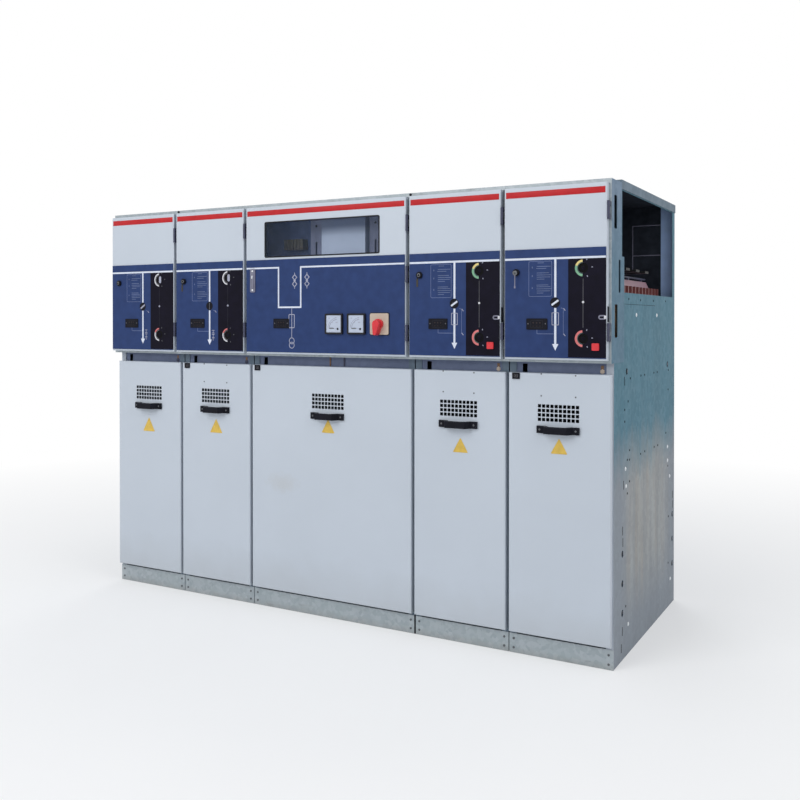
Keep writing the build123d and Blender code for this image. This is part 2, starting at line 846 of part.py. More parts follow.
for number, left, width in cubicles:
    if number in fused_numbers:
        with BuildPart() as trip_button:
            button_x = left + width - door_right_gap - panel_margin - button_right_inset
            with BuildSketch(facing_front(upper_door_front_y + door_sheet + button_tail)):
                with Locations((button_x, panel_z + button_height)):
                    RectangleRounded(button_size, button_size, button_corner)
            extrude(amount=button_tail + door_sheet + panel_sheet + button_proud)
        save(trip_button.part, f"trip_button_{number}")


# Lower door: a folded tray with a square-holed vent, hung on four hooks
def lower_door(left, width):
    center_x = left + width / 2
    with BuildPart() as door:
        with BuildSketch(facing_front(lower_door_back_y)):
            with Locations((center_x, lower_door_z + lower_door_height / 2)):
                Rectangle(width - 2 * lower_door_side_gap, lower_door_height)
        extrude(amount=lower_door_depth)
        fillet(door.faces().sort_by(Axis.Y)[0].edges(), radius=lower_bend_radius)
        offset(amount=-door_sheet, openings=door.faces().sort_by(Axis.Y)[-1])
        with BuildSketch(facing_front(lower_door_front_y)):
            with Locations((center_x, lower_door_z + vent_rise)):
                with GridLocations(vent_pitch_x, vent_pitch_z, vent_columns, vent_rows):
                    Rectangle(vent_hole, vent_hole)
        extrude(amount=overrun, both=True, mode=Mode.SUBTRACT)
        throat_front = front_y - lap_gap
        throat_back = front_y + side_sheet + lap_gap
        for hook_x in (left + plate_inset + hook_offset, left + width - plate_inset - hook_offset):
            for height in hook_heights:
                with BuildSketch(facing_right(hook_x - hook_sheet / 2)):
                    with BuildLine():
                        Polyline(
                            (lower_door_front_y + door_sheet, height + hook_height / 2),
                            (lower_door_front_y + door_sheet, height - hook_drop),
                            (throat_front, height - hook_drop), (throat_front, height),
                            (throat_back, height), (throat_back, height - hook_drop),
                            (throat_back + hook_reach, height - hook_drop),
                            (throat_back + hook_reach, height + hook_height / 2), close=True,
                        )
                    make_face()
                extrude(amount=hook_sheet)
    return door.part


# Bow handle: two screwed pads with the bar standing off between them
def bow_handle(center_x):
    middle_z = lower_door_z + handle_rise
    half = handle_length / 2
    rise = half - handle_pad
    top = rise - handle_slope
    with BuildPart() as handle:
        with BuildSketch(Plane((center_x, lower_door_front_y, middle_z - handle_height / 2))):
            with BuildLine():
                Polyline(
                    (-half, 0), (-half, -handle_pad_depth), (-rise, -handle_pad_depth), (-top, -handle_reach),
                    (top, -handle_reach), (rise, -handle_pad_depth), (half, -handle_pad_depth), (half, 0),
                    (rise - handle_bar, 0), (top - handle_bar, handle_bar - handle_reach),
                    (handle_bar - top, handle_bar - handle_reach), (handle_bar - rise, 0), close=True,
                )
            make_face()
        extrude(amount=handle_height)
        fillet(handle.edges().filter_by(Axis.X).group_by(Axis.Y)[0], radius=handle_edge)
    return handle.part


for number, left, width in cubicles:
    save(lower_door(left, width), f"lower_door_{number}")
    save(bow_handle(left + width / 2), f"door_handle_{number}")
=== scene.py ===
import bpy
import bmesh
import json
import math
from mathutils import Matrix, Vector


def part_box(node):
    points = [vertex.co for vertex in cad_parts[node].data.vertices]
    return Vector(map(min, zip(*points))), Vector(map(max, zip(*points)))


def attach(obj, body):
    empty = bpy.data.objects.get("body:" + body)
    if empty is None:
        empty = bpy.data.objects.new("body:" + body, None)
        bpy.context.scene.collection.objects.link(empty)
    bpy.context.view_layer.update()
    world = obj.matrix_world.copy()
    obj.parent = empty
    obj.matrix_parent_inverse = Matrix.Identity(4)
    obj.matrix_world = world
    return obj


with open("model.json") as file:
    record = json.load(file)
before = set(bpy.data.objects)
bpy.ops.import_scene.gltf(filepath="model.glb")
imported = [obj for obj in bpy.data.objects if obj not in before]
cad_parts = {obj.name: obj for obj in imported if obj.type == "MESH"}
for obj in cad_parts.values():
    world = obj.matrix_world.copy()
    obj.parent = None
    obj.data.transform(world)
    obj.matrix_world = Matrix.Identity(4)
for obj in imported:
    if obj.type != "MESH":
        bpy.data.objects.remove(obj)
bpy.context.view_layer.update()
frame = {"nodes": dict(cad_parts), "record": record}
nodes = frame["nodes"]
mm = 0.001
cubicles = (1, 2, 3, 4, 5)
narrow = (1, 2, 4, 5)
fused = (4, 5)
sunk = 0.1  # what stands on a face starts this many millimetres inside it
squareOn = 0.9  # least share of a normal along the way that a flat face looks
mostly = 0.5  # the same for a face that may lean


def corners(node):
    return tuple([value / mm for value in corner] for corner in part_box(node))


# places taken from the frame, in millimetres
coverGap = 6  # between a lower cover and the edge of its cubicle
leftEdge = {n: corners(f"lower_door_{n}")[0][0] - coverGap for n in cubicles}
rightEdge = {n: corners(f"lower_door_{n}")[1][0] + coverGap for n in cubicles}
panelLow = {n: corners(f"mimic_panel_{n}")[0] for n in cubicles}
panelHigh = {n: corners(f"mimic_panel_{n}")[1] for n in cubicles}
panelFront = panelLow[1][1]
doorFront = panelHigh[1][1]
coverFront = corners("lower_door_1")[0][1]
coverTop = corners("lower_door_1")[1][2]
plinthFront = corners("plinth_fronts")[0][1]
rearFace = corners("rear_covers")[1][1]
barFront = corners("crossbars")[0][1]
plateFront = corners("side_plates")[0][1]
endFace = corners("side_plates")[1][0]
uprightFront = corners("meter_uprights")[0][1]
meterFront = corners("meters")[0][1]
boxFront = corners("instrument_boxes")[0][1]
panelSeat = panelFront + sunk
doorSeat = doorFront + sunk
coverSeat = coverFront + sunk
barSeat = barFront + sunk


# modelling steps, every size in millimetres
# the settings of a piece list its sizes in the order in which a step takes them
def clearSelection():
    if bpy.context.object and bpy.context.object.mode != "OBJECT":
        bpy.ops.object.mode_set(mode="OBJECT")
    bpy.ops.object.select_all(action="DESELECT")


def scaled(values):
    return [value * mm for value in values]


def applyPlace():
    bpy.ops.object.transform_apply(location=True, rotation=True, scale=True)
    return bpy.context.object


def openEdit(piece):
    clearSelection()
    bpy.context.view_layer.objects.active = piece
    piece.select_set(True)
    bpy.ops.object.mode_set(mode="EDIT")
    bpy.ops.mesh.select_all(action="SELECT")


def closeEdit():
    bpy.ops.object.mode_set(mode="OBJECT")


def pickFaces(piece, test):
    bpy.ops.mesh.select_mode(type="FACE")
    bpy.ops.mesh.select_all(action="DESELECT")
    shape = bmesh.from_edit_mesh(piece.data)
    for face in shape.faces:
        face.select_set(test(face.calc_center_median() / mm, face.normal))
    bmesh.update_edit_mesh(piece.data)


# gives a flat outline its thickness, or leaves only a border of it first
def thicken(piece, depth, border=0.0):
    if border:
        openEdit(piece)
        bpy.ops.mesh.inset(thickness=border * mm)
        bpy.ops.mesh.delete(type="FACE")
        closeEdit()
    clearSelection()
    bpy.context.view_layer.objects.active = piece
    piece.select_set(True)
    bpy.ops.object.modifier_add(type="SOLIDIFY")
    piece.modifiers[-1].thickness = depth * mm
    piece.modifiers[-1].offset = 1
    bpy.ops.object.modifier_apply(modifier=piece.modifiers[-1].name)
    return piece


def addBlock(low, high, edge, segments=1):
    clearSelection()
    bpy.ops.mesh.primitive_cube_add(size=1, location=scaled([(a + b) / 2 for a, b in zip(low, high)]),
                                    scale=scaled([b - a for a, b in zip(low, high)]))
    block = applyPlace()
    openEdit(block)
    bpy.ops.mesh.bevel(offset=edge * mm, segments=segments, affect="EDGES")
    closeEdit()
    return block


# a block with its corners measured from a place
def addBlockAt(place, low, high, edge, segments=1):
    return addBlock([p + a for p, a in zip(place, low)], [p + b for p, b in zip(place, high)], edge, segments)


turns = {"front": (math.pi / 2, 0, 0), "rear": (-math.pi / 2, 0, 0),
         "right": (0, math.pi / 2, 0), "left": (0, -math.pi / 2, 0)}
outward = {"front": (0, -1, 0), "rear": (0, 1, 0), "right": (1, 0, 0), "left": (-1, 0, 0)}


# a turned disc that stands on its place and looks the given way
def addDisc(place, radius, depth, edge, sides, facing="front"):
    clearSelection()
    away = outward[facing]
    centre = [p + a * depth / 2 for p, a in zip(place, away)]
    bpy.ops.mesh.primitive_cylinder_add(vertices=sides, radius=radius * mm, depth=depth * mm,
                                        rotation=turns[facing], location=scaled(centre))
    disc = applyPlace()
    openEdit(disc)
    pickFaces(disc, lambda middle, normal: sum(a * b for a, b in zip(normal, away)) > squareOn)
    bpy.ops.mesh.bevel(offset=edge * mm, segments=2, affect="EDGES")
    closeEdit()
    return disc


# sinks the middle of the face that looks outward
def sinkMiddle(piece, rim, fall, facing="front"):
    away = outward[facing]
    reach = max(sum(a * c / mm for a, c in zip(away, corner.co)) for corner in piece.data.vertices)
    openEdit(piece)
    pickFaces(piece, lambda middle, normal: sum(a * c for a, c in zip(away, middle)) > reach - 0.02)
    bpy.ops.mesh.inset(thickness=rim * mm)
    bpy.ops.mesh.extrude_region_move(TRANSFORM_OT_translate={"value": scaled([-a * fall for a in away])})
    closeEdit()
    return piece


# a disc with a sunk middle, as a screw head or a socket has
def addScrew(place, radius, depth, edge, sides, rim, fall, facing="front"):
    return sinkMiddle(addDisc(place, radius, depth, edge, sides, facing), rim, fall, facing)


# a flat polygon in the plane of a door, pointing up before it is turned
def addPolygon(place, sides, width, height, depth, turn=0.0, corner=0.0, border=0.0):
    clearSelection()
    wide, tall = (math.sqrt(3), 1.5) if sides == 3 else (2, 2)
    bpy.ops.mesh.primitive_circle_add(vertices=sides, radius=1, fill_type="NGON", location=scaled(place),
                                      rotation=(math.pi / 2, math.radians(turn), 0))
    bpy.context.object.scale = (width * mm / wide, height * mm / tall, 1)
    polygon = applyPlace()
    if corner:
        openEdit(polygon)
        bpy.ops.mesh.bevel(offset=corner * mm, segments=3, affect="VERTICES")
        closeEdit()
    return thicken(polygon, depth, border)


# a flat plate with rounded corners in the plane of a door, or only its border
# its left, right, low and high edges are measured from a place
def addPlate(place, edges, depth, corner, border=0.0):
    lowX, highX, lowZ, highZ = edges
    middle = (place[0] + (lowX + highX) / 2, place[1], place[2] + (lowZ + highZ) / 2)
    clearSelection()
    bpy.ops.mesh.primitive_plane_add(size=1, location=scaled(middle), rotation=turns["front"])
    bpy.context.object.scale = scaled((highX - lowX, highZ - lowZ, 1))
    plate = applyPlace()
    openEdit(plate)
    bpy.ops.mesh.bevel(offset=corner * mm, segments=4, affect="VERTICES")
    closeEdit()
    return thicken(plate, depth, border)


# part of a flat ring in the plane of a door: angles in degrees from the right, anticlockwise
def addArc(place, inner, outer, start, end, depth, sides=72):
    slack = 0.1
    clearSelection()
    bpy.ops.mesh.primitive_circle_add(vertices=sides, radius=outer * mm, fill_type="NOTHING",
                                      location=scaled(place), rotation=turns["front"])
    arc = applyPlace()
    openEdit(arc)
    bpy.ops.mesh.select_mode(type="VERT")
    shape = bmesh.from_edit_mesh(arc.data)
    for corner in shape.verts:
        angle = math.degrees(math.atan2(corner.co.z - place[2] * mm, corner.co.x - place[0] * mm)) % 360
        if angle < start - slack:
            angle += 360
        corner.select_set(not start - slack <= angle <= end + slack)
    shape.select_flush_mode()
    bmesh.update_edit_mesh(arc.data)
    bpy.ops.mesh.delete(type="VERT")
    bpy.ops.mesh.select_all(action="SELECT")
    bpy.ops.mesh.extrude_edges_move()
    share = inner / outer
    bpy.ops.transform.resize(value=(share, 1, share), center_override=scaled(place))
    bpy.ops.mesh.select_all(action="SELECT")
    bpy.ops.mesh.normals_make_consistent(inside=False)
    closeEdit()
    if arc.data.polygons[0].normal.y > 0:
        arc.data.flip_normals()
    return thicken(arc, depth)


# a flat bar in the plane of a door, sunk a little in the face at y
def addBar(middleX, middleZ, width, height, y, proud, turn=0.0):
    edge, inside = min(0.2, proud / 3), 0.2
    bar = addBlock((-width / 2, y - proud, -height / 2), (width / 2, y + inside, height / 2), edge)
    bar.rotation_euler = (0, math.radians(turn), 0)
    bar.location = scaled((middleX, 0, middleZ))
    return bar


# the same on a door's panel, measured from the left edge of its cubicle
def panelBar(n, across, z, width, height, proud, turn=0.0):
    return addBar(leftEdge[n] + across, z, width, height, panelFront, proud, turn)


def copied(piece, shifts):
    copies = []
    for shift in shifts:
        copy = piece.copy()
        copy.data = piece.data.copy()
        bpy.context.scene.collection.objects.link(copy)
        copy.location = scaled(shift)
        copies.append(copy)
    return copies


def dress(pieces, finish):
    for piece in pieces:
        piece.data.materials.clear()
        piece.data.materials.append(finish)
    return pieces


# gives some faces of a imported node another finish, picked by their place and normal
def paintFaces(name, finish, test):
    mesh = nodes[name].data
    mesh.materials.append(finish)
    for face in mesh.polygons:
        if test(face.center / mm, face.normal):
            face.material_index = len(mesh.materials) - 1


# the foremost point of a door's fittings near a place
def fittingFront(n, x, z, near):
    return min(v.co.y / mm for v in nodes[f"panel_fittings_{n}"].data.vertices
               if near(v.co.x / mm - x, v.co.z / mm - z))


def removePieces(*pieces):
    for piece in pieces:
        bpy.data.objects.remove(piece)


# joins what belongs together, puts its place in the mesh and lets it ride on its body
def finishPiece(pieces, name, body, angle=35):
    clearSelection()
    for piece in pieces:
        piece.select_set(True)
    bpy.context.view_layer.objects.active = pieces[0]
    if len(pieces) > 1:
        bpy.ops.object.join()
    whole = applyPlace()
    openEdit(whole)
    bpy.ops.mesh.normals_make_consistent(inside=False)
    closeEdit()
    bpy.ops.object.shade_smooth_by_angle(angle=math.radians(angle))
    whole.name = name
    whole.data.name = name
    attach(whole, body)


# a socket that takes part in sums
class Wire:
    def __init__(self, finish, socket):
        self.finish = finish
        self.socket = socket

    def maths(self, kind, first, second):
        return self.finish.node("ShaderNodeMath", {"operation": kind}, {0: first, 1: second})

    def __add__(self, other):
        return self.maths("ADD", self, other)

    def __radd__(self, other):
        return self.maths("ADD", other, self)

    def __sub__(self, other):
        return self.maths("SUBTRACT", self, other)

    def __rsub__(self, other):
        return self.maths("SUBTRACT", other, self)

    def __mul__(self, other):
        return self.maths("MULTIPLY", self, other)

    def __rmul__(self, other):
        return self.maths("MULTIPLY", other, self)

    def __pow__(self, other):
        return self.maths("POWER", self, other)


class Finish:
    names = {"colour": "Base Color", "rough": "Roughness", "metal": "Metallic", "coat": "Coat Weight",
             "clear": "Alpha", "normal": "Normal", "shine": "Specular IOR Level"}

    def __init__(self, name, tree=None):
        if tree is None:
            self.material = bpy.data.materials.new(name)
            self.material.use_nodes = True
            tree = self.material.node_tree
            self.shader = tree.nodes["Principled BSDF"]
        self.tree = tree

    def node(self, kind, settings=None, inputs=None, output=0):
        made = self.tree.nodes.new(kind)
        for key, value in (settings or {}).items():
            setattr(made, key, value)
        for key, value in (inputs or {}).items():
            if isinstance(value, Wire):
                self.tree.links.new(value.socket, made.inputs[key])
            else:
                made.inputs[key].default_value = value
        return Wire(self, made.outputs[output])

    def place(self, stretch=(1, 1, 1)):
        spot = self.node("ShaderNodeTexCoord", output="Object")
        return self.node("ShaderNodeMapping", None, {"Vector": spot, "Scale": stretch})

    def along(self, axis):
        spot = self.node("ShaderNodeTexCoord", output="Object")
        return self.node("ShaderNodeSeparateXYZ", None, {0: spot}, axis)

    def noise(self, scale, detail=3, stretch=(1, 1, 1)):
        inputs = {"Vector": self.place(stretch), "Scale": scale, "Detail": detail}
        return self.node("ShaderNodeTexNoise", None, inputs)

    # one grey value for each crystal of a zinc surface
    def flakes(self, scale):
        cells = self.node("ShaderNodeTexVoronoi", None, {"Vector": self.place(), "Scale": scale}, "Color")
        return self.node("ShaderNodeSeparateColor", None, {0: cells})

    def span(self, value, low, high):
        inputs = {"Value": value, "From Min": low, "From Max": high}
        return self.node("ShaderNodeMapRange", {"clamp": True}, inputs)

    def blend(self, factor, first, second):
        tone = [value if isinstance(value, Wire) else (*value, 1) for value in (first, second)]
        return self.node("ShaderNodeMix", {"data_type": "RGBA"}, {0: factor, 6: tone[0], 7: tone[1]}, 2)

    # fine unevenness: scale and detail of its noise, strength and depth of its bump
    def grain(self, scale, detail, strength, distance):
        inputs = {"Height": self.noise(scale, detail), "Strength": strength, "Distance": distance}
        return self.node("ShaderNodeBump", None, inputs)

    # a value that is the same all over goes on the socket itself
    def set(self, **values):
        for key, value in values.items():
            socket = self.shader.inputs[self.names[key]]
            if isinstance(value, Wire):
                self.tree.links.new(value.socket, socket)
            else:
                socket.default_value = value
        return self.material


def shaded(colour, factor):
    return tuple(min(1, value * factor) for value in colour)


# a coloured finish with a little cloudiness and grain
def plainFinish(name, colour, rough, spread=0.12, metal=0.0, coat=0.0, cloud=30, shine=0.5):
    made = Finish(name)
    patch = made.noise(cloud, 4)
    tone = made.blend(made.span(patch, 0.3, 0.7), shaded(colour, 1 - spread), shaded(colour, 1 + spread))
    return made.set(colour=tone, rough=rough - 0.06 + patch * 0.12, metal=metal, coat=coat, shine=shine,
                    normal=made.grain(900, 2, 0.06, 0.0004))


# galvanised sheet: crystals, streaks down the sheet, tan run-off marks low down, and a painted reflection
# that changes its tone with height
# low and high are the tones below lowZ and above highZ metres: painted reflection of the surroundings, and on
# the end box sides a paler top as painted light
zincSet = {
    "end": {"edge": (0.245, 0.275, 0.312), "low": (0.335, 0.35, 0.355), "high": (0.08, 0.187, 0.246),
            "lowZ": 0.58, "highZ": 0.79, "runs": 0.6},
    "box": {"edge": (0.135, 0.178, 0.225), "low": (0.14, 0.18, 0.225), "high": (0.15, 0.20, 0.245),
            "lowZ": 1.0, "highZ": 1.4, "runs": 0.1},
    "flank": {"edge": (0.104, 0.192, 0.262), "low": (0.108, 0.194, 0.262), "high": (0.168, 0.236, 0.318),
              "lowZ": 1.36, "highZ": 1.6, "runs": 0.05},
    "bar": {"edge": (0.148, 0.178, 0.268), "low": (0.148, 0.178, 0.268), "high": (0.145, 0.176, 0.265),
            "lowZ": 1.0, "highZ": 1.4, "runs": 0.1}}
runTone = (0.37, 0.33, 0.275)


def zincFinish(kind):
    use = zincSet[kind]
    made = Finish(f"{kind}Zinc")
    streak = made.noise(7, 2, (2, 2, 0.18))
    wander = (made.noise(2.6, 3) - 0.5) * 0.14 + (streak - 0.5) * 0.2
    height = made.span(made.along(2) + wander, use["lowZ"], use["highZ"])
    # the middle of the sheet is paler, with tan runs, and its front, rear and foot stay bluish
    depth = made.along(1) - 0.05
    middle = made.span(depth * depth, 0.13, 0.03) * made.span(made.along(2), 0.1, 0.3)
    pale = made.blend(made.span(streak, 0.38, 0.62), shaded(use["low"], 0.88), shaded(use["low"], 1.12))
    run = made.span(made.noise(6, 3, (3.2, 3.2, 0.16)), 0.46, 0.64)
    pale = made.blend(run * use["runs"], pale, runTone)
    bluish = made.blend(streak, shaded(use["edge"], 0.9), shaded(use["edge"], 1.15))
    lowTone = made.blend(middle, bluish, pale)
    highTone = made.blend(made.span(streak, 0.35, 0.7), use["high"], shaded(use["high"], 1.14))
    # painted reflection: the sheet goes from its low tone to its high tone up its height
    tone = made.blend(height, lowTone, highTone)
    flake = made.flakes(55)
    dark = made.blend(height, shaded(use["low"], 0.72), shaded(use["high"], 0.66))
    tone = made.blend(flake * 0.25, tone, dark)
    return made.set(colour=tone, metal=0.15, rough=0.46 + flake * 0.1 + made.noise(14, 5) * 0.12, shine=0.12,
                    normal=made.grain(160, 3, 0.05, 0.0006))


paintSet = {"door": (0.512, 0.56, 0.622), "dirt": (0.30, 0.30, 0.28), "speck": (0.33, 0.33, 0.33),
            "stain": (0.40, 0.37, 0.31), "stainAt": (-0.215, 0.514), "stainSize": 0.05}


def doorFinish():
    made = Finish("doorPaint")
    cloud = made.noise(2.5, 4)
    tone = made.blend(cloud, shaded(paintSet["door"], 0.95), shaded(paintSet["door"], 1.05))
    # dust settles low on the covers
    low = made.span(made.along(2) + (made.noise(9, 4) - 0.5) * 0.16, 0.24, 0.07)
    tone = made.blend(low * 0.2, tone, paintSet["dirt"])
    across = made.along(0) - paintSet["stainAt"][0]
    up = made.along(2) - paintSet["stainAt"][1]
    reach = (across * across * 0.3 + up * up) ** 0.5 + (made.noise(60, 4) - 0.5) * 0.05
    tone = made.blend(made.span(reach, paintSet["stainSize"], 0.012) * 0.2, tone, paintSet["stain"])
    speck = made.span(made.noise(260, 2), 0.74, 0.8)
    tone = made.blend(speck * 0.3, tone, paintSet["speck"])
    return made.set(colour=tone, rough=0.34 + cloud * 0.12, coat=0.1,
                    normal=made.grain(700, 2, 0.07, 0.0004))


plinthTones = {"dark": (0.30, 0.345, 0.37), "pale": (0.40, 0.44, 0.465), "cloud": (0.33, 0.385, 0.40),
               "scuff": (0.24, 0.235, 0.22), "foot": (0.27, 0.26, 0.235)}


def plinthFinish():
    made = Finish("plinthZinc")
    tone = made.blend(made.flakes(75), plinthTones["dark"], plinthTones["pale"])
    cloud = made.span(made.noise(9, 4), 0.4, 0.7)
    tone = made.blend(cloud * 0.45, tone, plinthTones["cloud"])
    scuff = made.span(made.noise(20, 5, (0.6, 1, 2.5)), 0.62, 0.72)
    tone = made.blend(scuff * 0.35, tone, plinthTones["scuff"])
    low = made.span(made.along(2) + (made.noise(25, 4) - 0.5) * 0.03, 0.026, 0.0)
    tone = made.blend(low * 0.4, tone, plinthTones["foot"])
    return made.set(colour=tone, metal=0.2, rough=0.4 + scuff * 0.2,
                    normal=made.grain(300, 2, 0.06, 0.0005))


resinTones = {"dark": (0.15, 0.045, 0.04), "pale": (0.22, 0.072, 0.065), "paintedHighlight": (0.95, 0.74, 0.96)}


def resinFinish():
    made = Finish("castResin")
    cloud = made.noise(8, 4)
    tone = made.blend(cloud, resinTones["dark"], resinTones["pale"])
    # painted highlight: pale pink on what looks up
    normal = made.node("ShaderNodeNewGeometry", output="Normal")
    upward = made.node("ShaderNodeSeparateXYZ", None, {0: normal}, 2)
    tone = made.blend(made.span(upward, 0.2, 0.9) * 0.9, tone, resinTones["paintedHighlight"])
    return made.set(colour=tone, rough=0.34 + cloud * 0.14, normal=made.grain(120, 3, 0.05, 0.0008))


paneTones = {"dark": (0.16, 0.21, 0.30), "pale": (0.24, 0.29, 0.38)}


def paneFinish():
    made = Finish("paneGlass")
    smear = made.noise(14, 4, (1, 1, 0.5))
    return made.set(colour=made.blend(smear, paneTones["dark"], paneTones["pale"]), rough=0.03 + smear * 0.05,
                    clear=0.03 + smear * 0.05, shine=0.35)


# the board behind the window is pale below, with a painted shadow along its top
boardSet = {"dark": (0.46, 0.55, 0.72), "pale": (0.54, 0.63, 0.80), "top": (0.17, 0.215, 0.34),
            "topLow": 1.500, "topHigh": 1.538}


def boardFinish():
    made = Finish("meterBoard")
    wander = (made.noise(12, 3) - 0.5) * 0.012
    # painted shadow: the top tone between topLow and topHigh metres up
    high = made.span(made.along(2) + wander, boardSet["topLow"], boardSet["topHigh"])
    cloud = made.noise(9, 4)
    tone = made.blend(high, made.blend(cloud, boardSet["dark"], boardSet["pale"]), boardSet["top"])
    return made.set(colour=tone, rough=0.4 + cloud * 0.1, shine=0.3, normal=made.grain(500, 2, 0.05, 0.0004))


finishes = {
    "galvanised": zincFinish("box"), "door_paint": doorFinish(), "plinth_paint": plinthFinish(),
    "epoxy": resinFinish(), "glass": paneFinish(),
    "mimic_blue": plainFinish("mimicBlue", (0.021, 0.043, 0.135), 0.45, 0.1, shine=0.15),
    "black_plastic": plainFinish("blackMoulding", (0.0062, 0.0065, 0.0115), 0.42, 0.25, shine=0.11),
    "sleeve": plainFinish("busbarSleeve", (0.012, 0.013, 0.013), 0.5, 0.3, shine=0.2),
    "yellow_zinc": plainFinish("yellowZinc", (0.74, 0.44, 0.23), 0.45, 0.2, cloud=18),
    "terminal_brown": plainFinish("terminalMoulding", (0.05, 0.042, 0.026), 0.5, 0.2, shine=0.3),
    "meter_case": plainFinish("meterCase", (0.012, 0.012, 0.017), 0.42, 0.2, shine=0.2),
    "cream_plate": plainFinish("creamPlate", (0.52, 0.43, 0.35), 0.45, 0.06, shine=0.2),
    "red_plastic": plainFinish("redMoulding", (0.66, 0.035, 0.045), 0.32, 0.1, coat=0.1, shine=0.3)}
endZinc = zincFinish("end")
foldZinc = plainFinish("foldZinc", (0.42, 0.455, 0.51), 0.45, 0.1, cloud=12, shine=0.2)
uprightZinc = plainFinish("uprightZinc", (0.165, 0.19, 0.30), 0.45, 0.15, shine=0.3)
stripZinc = plainFinish("stripZinc", (0.38, 0.54, 0.83), 0.5, 0.1, cloud=12)
boxShade = plainFinish("boxShade", (0.064, 0.098, 0.22), 0.6, 0.2, shine=0.2)
innerShade = plainFinish("innerShade", (0.025, 0.030, 0.040), 0.85, 0.3, shine=0.05)
operatingBlack = plainFinish("operatingBlack", (0.0048, 0.004, 0.0112), 0.42, 0.2, shine=0.08)
hingeGrey = plainFinish("hingeGrey", (0.062, 0.066, 0.105), 0.45, 0.2, shine=0.2)
headerRed = plainFinish("headerRed", (0.48, 0.021, 0.025), 0.4, 0.06, shine=0.15)
linePaint = plainFinish("linePaint", (0.66, 0.70, 0.79), 0.42, 0.05, shine=0.25)
paleLine = plainFinish("paleLine", (0.36, 0.37, 0.46), 0.45, 0.1, shine=0.2)
fadedLine = plainFinish("fadedLine", (0.15, 0.19, 0.34), 0.45, 0.1, shine=0.15)
faintPrint = plainFinish("faintPrint", (0.12, 0.155, 0.275), 0.45, 0.15, shine=0.15)
greyLine = plainFinish("greyLine", (0.13, 0.13, 0.14), 0.45, 0.1, shine=0.15)
catchGrey = plainFinish("catchGrey", (0.19, 0.19, 0.25), 0.42, 0.15, shine=0.3)
boltSteel = plainFinish("boltSteel", (0.80, 0.82, 0.84), 0.3, 0.06, metal=0.3, cloud=120)
darkSteel = plainFinish("darkSteel", (0.12, 0.125, 0.135), 0.36, 0.2, metal=0.5, cloud=120)
studBrass = plainFinish("studBrass", (0.17, 0.095, 0.055), 0.4, 0.3, metal=0.3, cloud=120)
frameDark = plainFinish("frameDark", (0.022, 0.022, 0.03), 0.45, 0.2, shine=0.15)
lampDark = plainFinish("lampDark", (0.028, 0.018, 0.018), 0.35, 0.3, shine=0.2)
holeDark = plainFinish("holeDark", (0.006, 0.006, 0.007), 0.8, 0.3, shine=0.1)
rubber = plainFinish("rubberEdge", (0.016, 0.016, 0.02), 0.6, 0.25, shine=0.15)
plateYellow = plainFinish("plateYellow", (0.66, 0.44, 0.07), 0.42, 0.12, cloud=60)
dialCream = plainFinish("dialCream", (0.70, 0.56, 0.20), 0.42, 0.1)
dialGreen = plainFinish("dialGreen", (0.16, 0.36, 0.22), 0.42, 0.12)
dialShade = plainFinish("dialShade", (0.03, 0.075, 0.07), 0.42, 0.12)
dialPink = plainFinish("dialPink", (0.60, 0.15, 0.15), 0.42, 0.1)
dialWhite = plainFinish("dialWhite", (0.60, 0.60, 0.63), 0.42, 0.06)
meterFace = plainFinish("meterFace", (0.48, 0.53, 0.63), 0.4, 0.04, shine=0.15)

slotOf = {part["node"]: part["material_slot"] for part in frame["record"]["subparts"]}
nodeFinishes = {"busbar_frames": endZinc, "end_box_sides": zincFinish("flank"),
                "crossbars": zincFinish("bar"), "meter_board": boardFinish(),
                "meter_uprights": uprightZinc, "fixed_hinges": hingeGrey}
for name, node in nodes.items():
    dress([node], nodeFinishes.get(name, finishes[slotOf[name]]))

# the outer faces of the two end plates, whose front folds catch the light
endPlateSet = {"skin": 0.5, "fold": 60}
paintFaces("side_plates", endZinc, lambda middle, normal:
           abs(normal[0]) > squareOn and abs(middle[0]) > endFace - endPlateSet["skin"])
paintFaces("side_plates", foldZinc, lambda middle, normal:
           normal[1] < -squareOn and abs(middle[0]) > endFace - endPlateSet["fold"])

# black operating plates in the blue panels
operatingSet = {"width": 128.1, "low": 1042.9, "high": 1373.1}
for n in narrow:
    plateLeft = panelHigh[n][0] - operatingSet["width"]
    paintFaces(f"mimic_panel_{n}", operatingBlack, lambda middle, normal:
               middle[0] > plateLeft and operatingSet["low"] < middle[2] < operatingSet["high"])

# the moving knuckles of the doors, and painted shade on the walls of the vent holes
knuckleInset = 8.95
ventSet = {"side": 30, "low": 200, "high": 30}
for n in cubicles:
    paintFaces(f"instrument_door_{n}", hingeGrey, lambda middle, normal:
               middle[0] > rightEdge[n] - knuckleInset)
    # painted shade: near-black walls of the vent holes
    paintFaces(f"lower_door_{n}", holeDark, lambda middle, normal: abs(normal[1]) < mostly
               and leftEdge[n] + ventSet["side"] < middle[0] < rightEdge[n] - ventSet["side"]
               and coverTop - ventSet["low"] < middle[2] < coverTop - ventSet["high"])

# the busbar compartment and the metering box are dark inside with painted shade, and only the end flange
# catches light, shown by a paler zinc as painted light
compartmentSet = {"floor": 1252, "flange": 1066, "flangeFace": 480, "roofRear": 400, "boxBack": -330,
                  "boxEdge": -430}
# painted shade: inner faces of the rear covers and the roof, and the inner frames
paintFaces("rear_covers", innerShade, lambda middle, normal:
           normal[1] < -mostly and middle[2] > compartmentSet["floor"])
paintFaces("roof_covers", innerShade, lambda middle, normal:
           normal[2] < -mostly or normal[1] < -mostly and middle[1] > compartmentSet["roofRear"])
paintFaces("busbar_frames", innerShade, lambda middle, normal: abs(middle[0]) < compartmentSet["flange"])
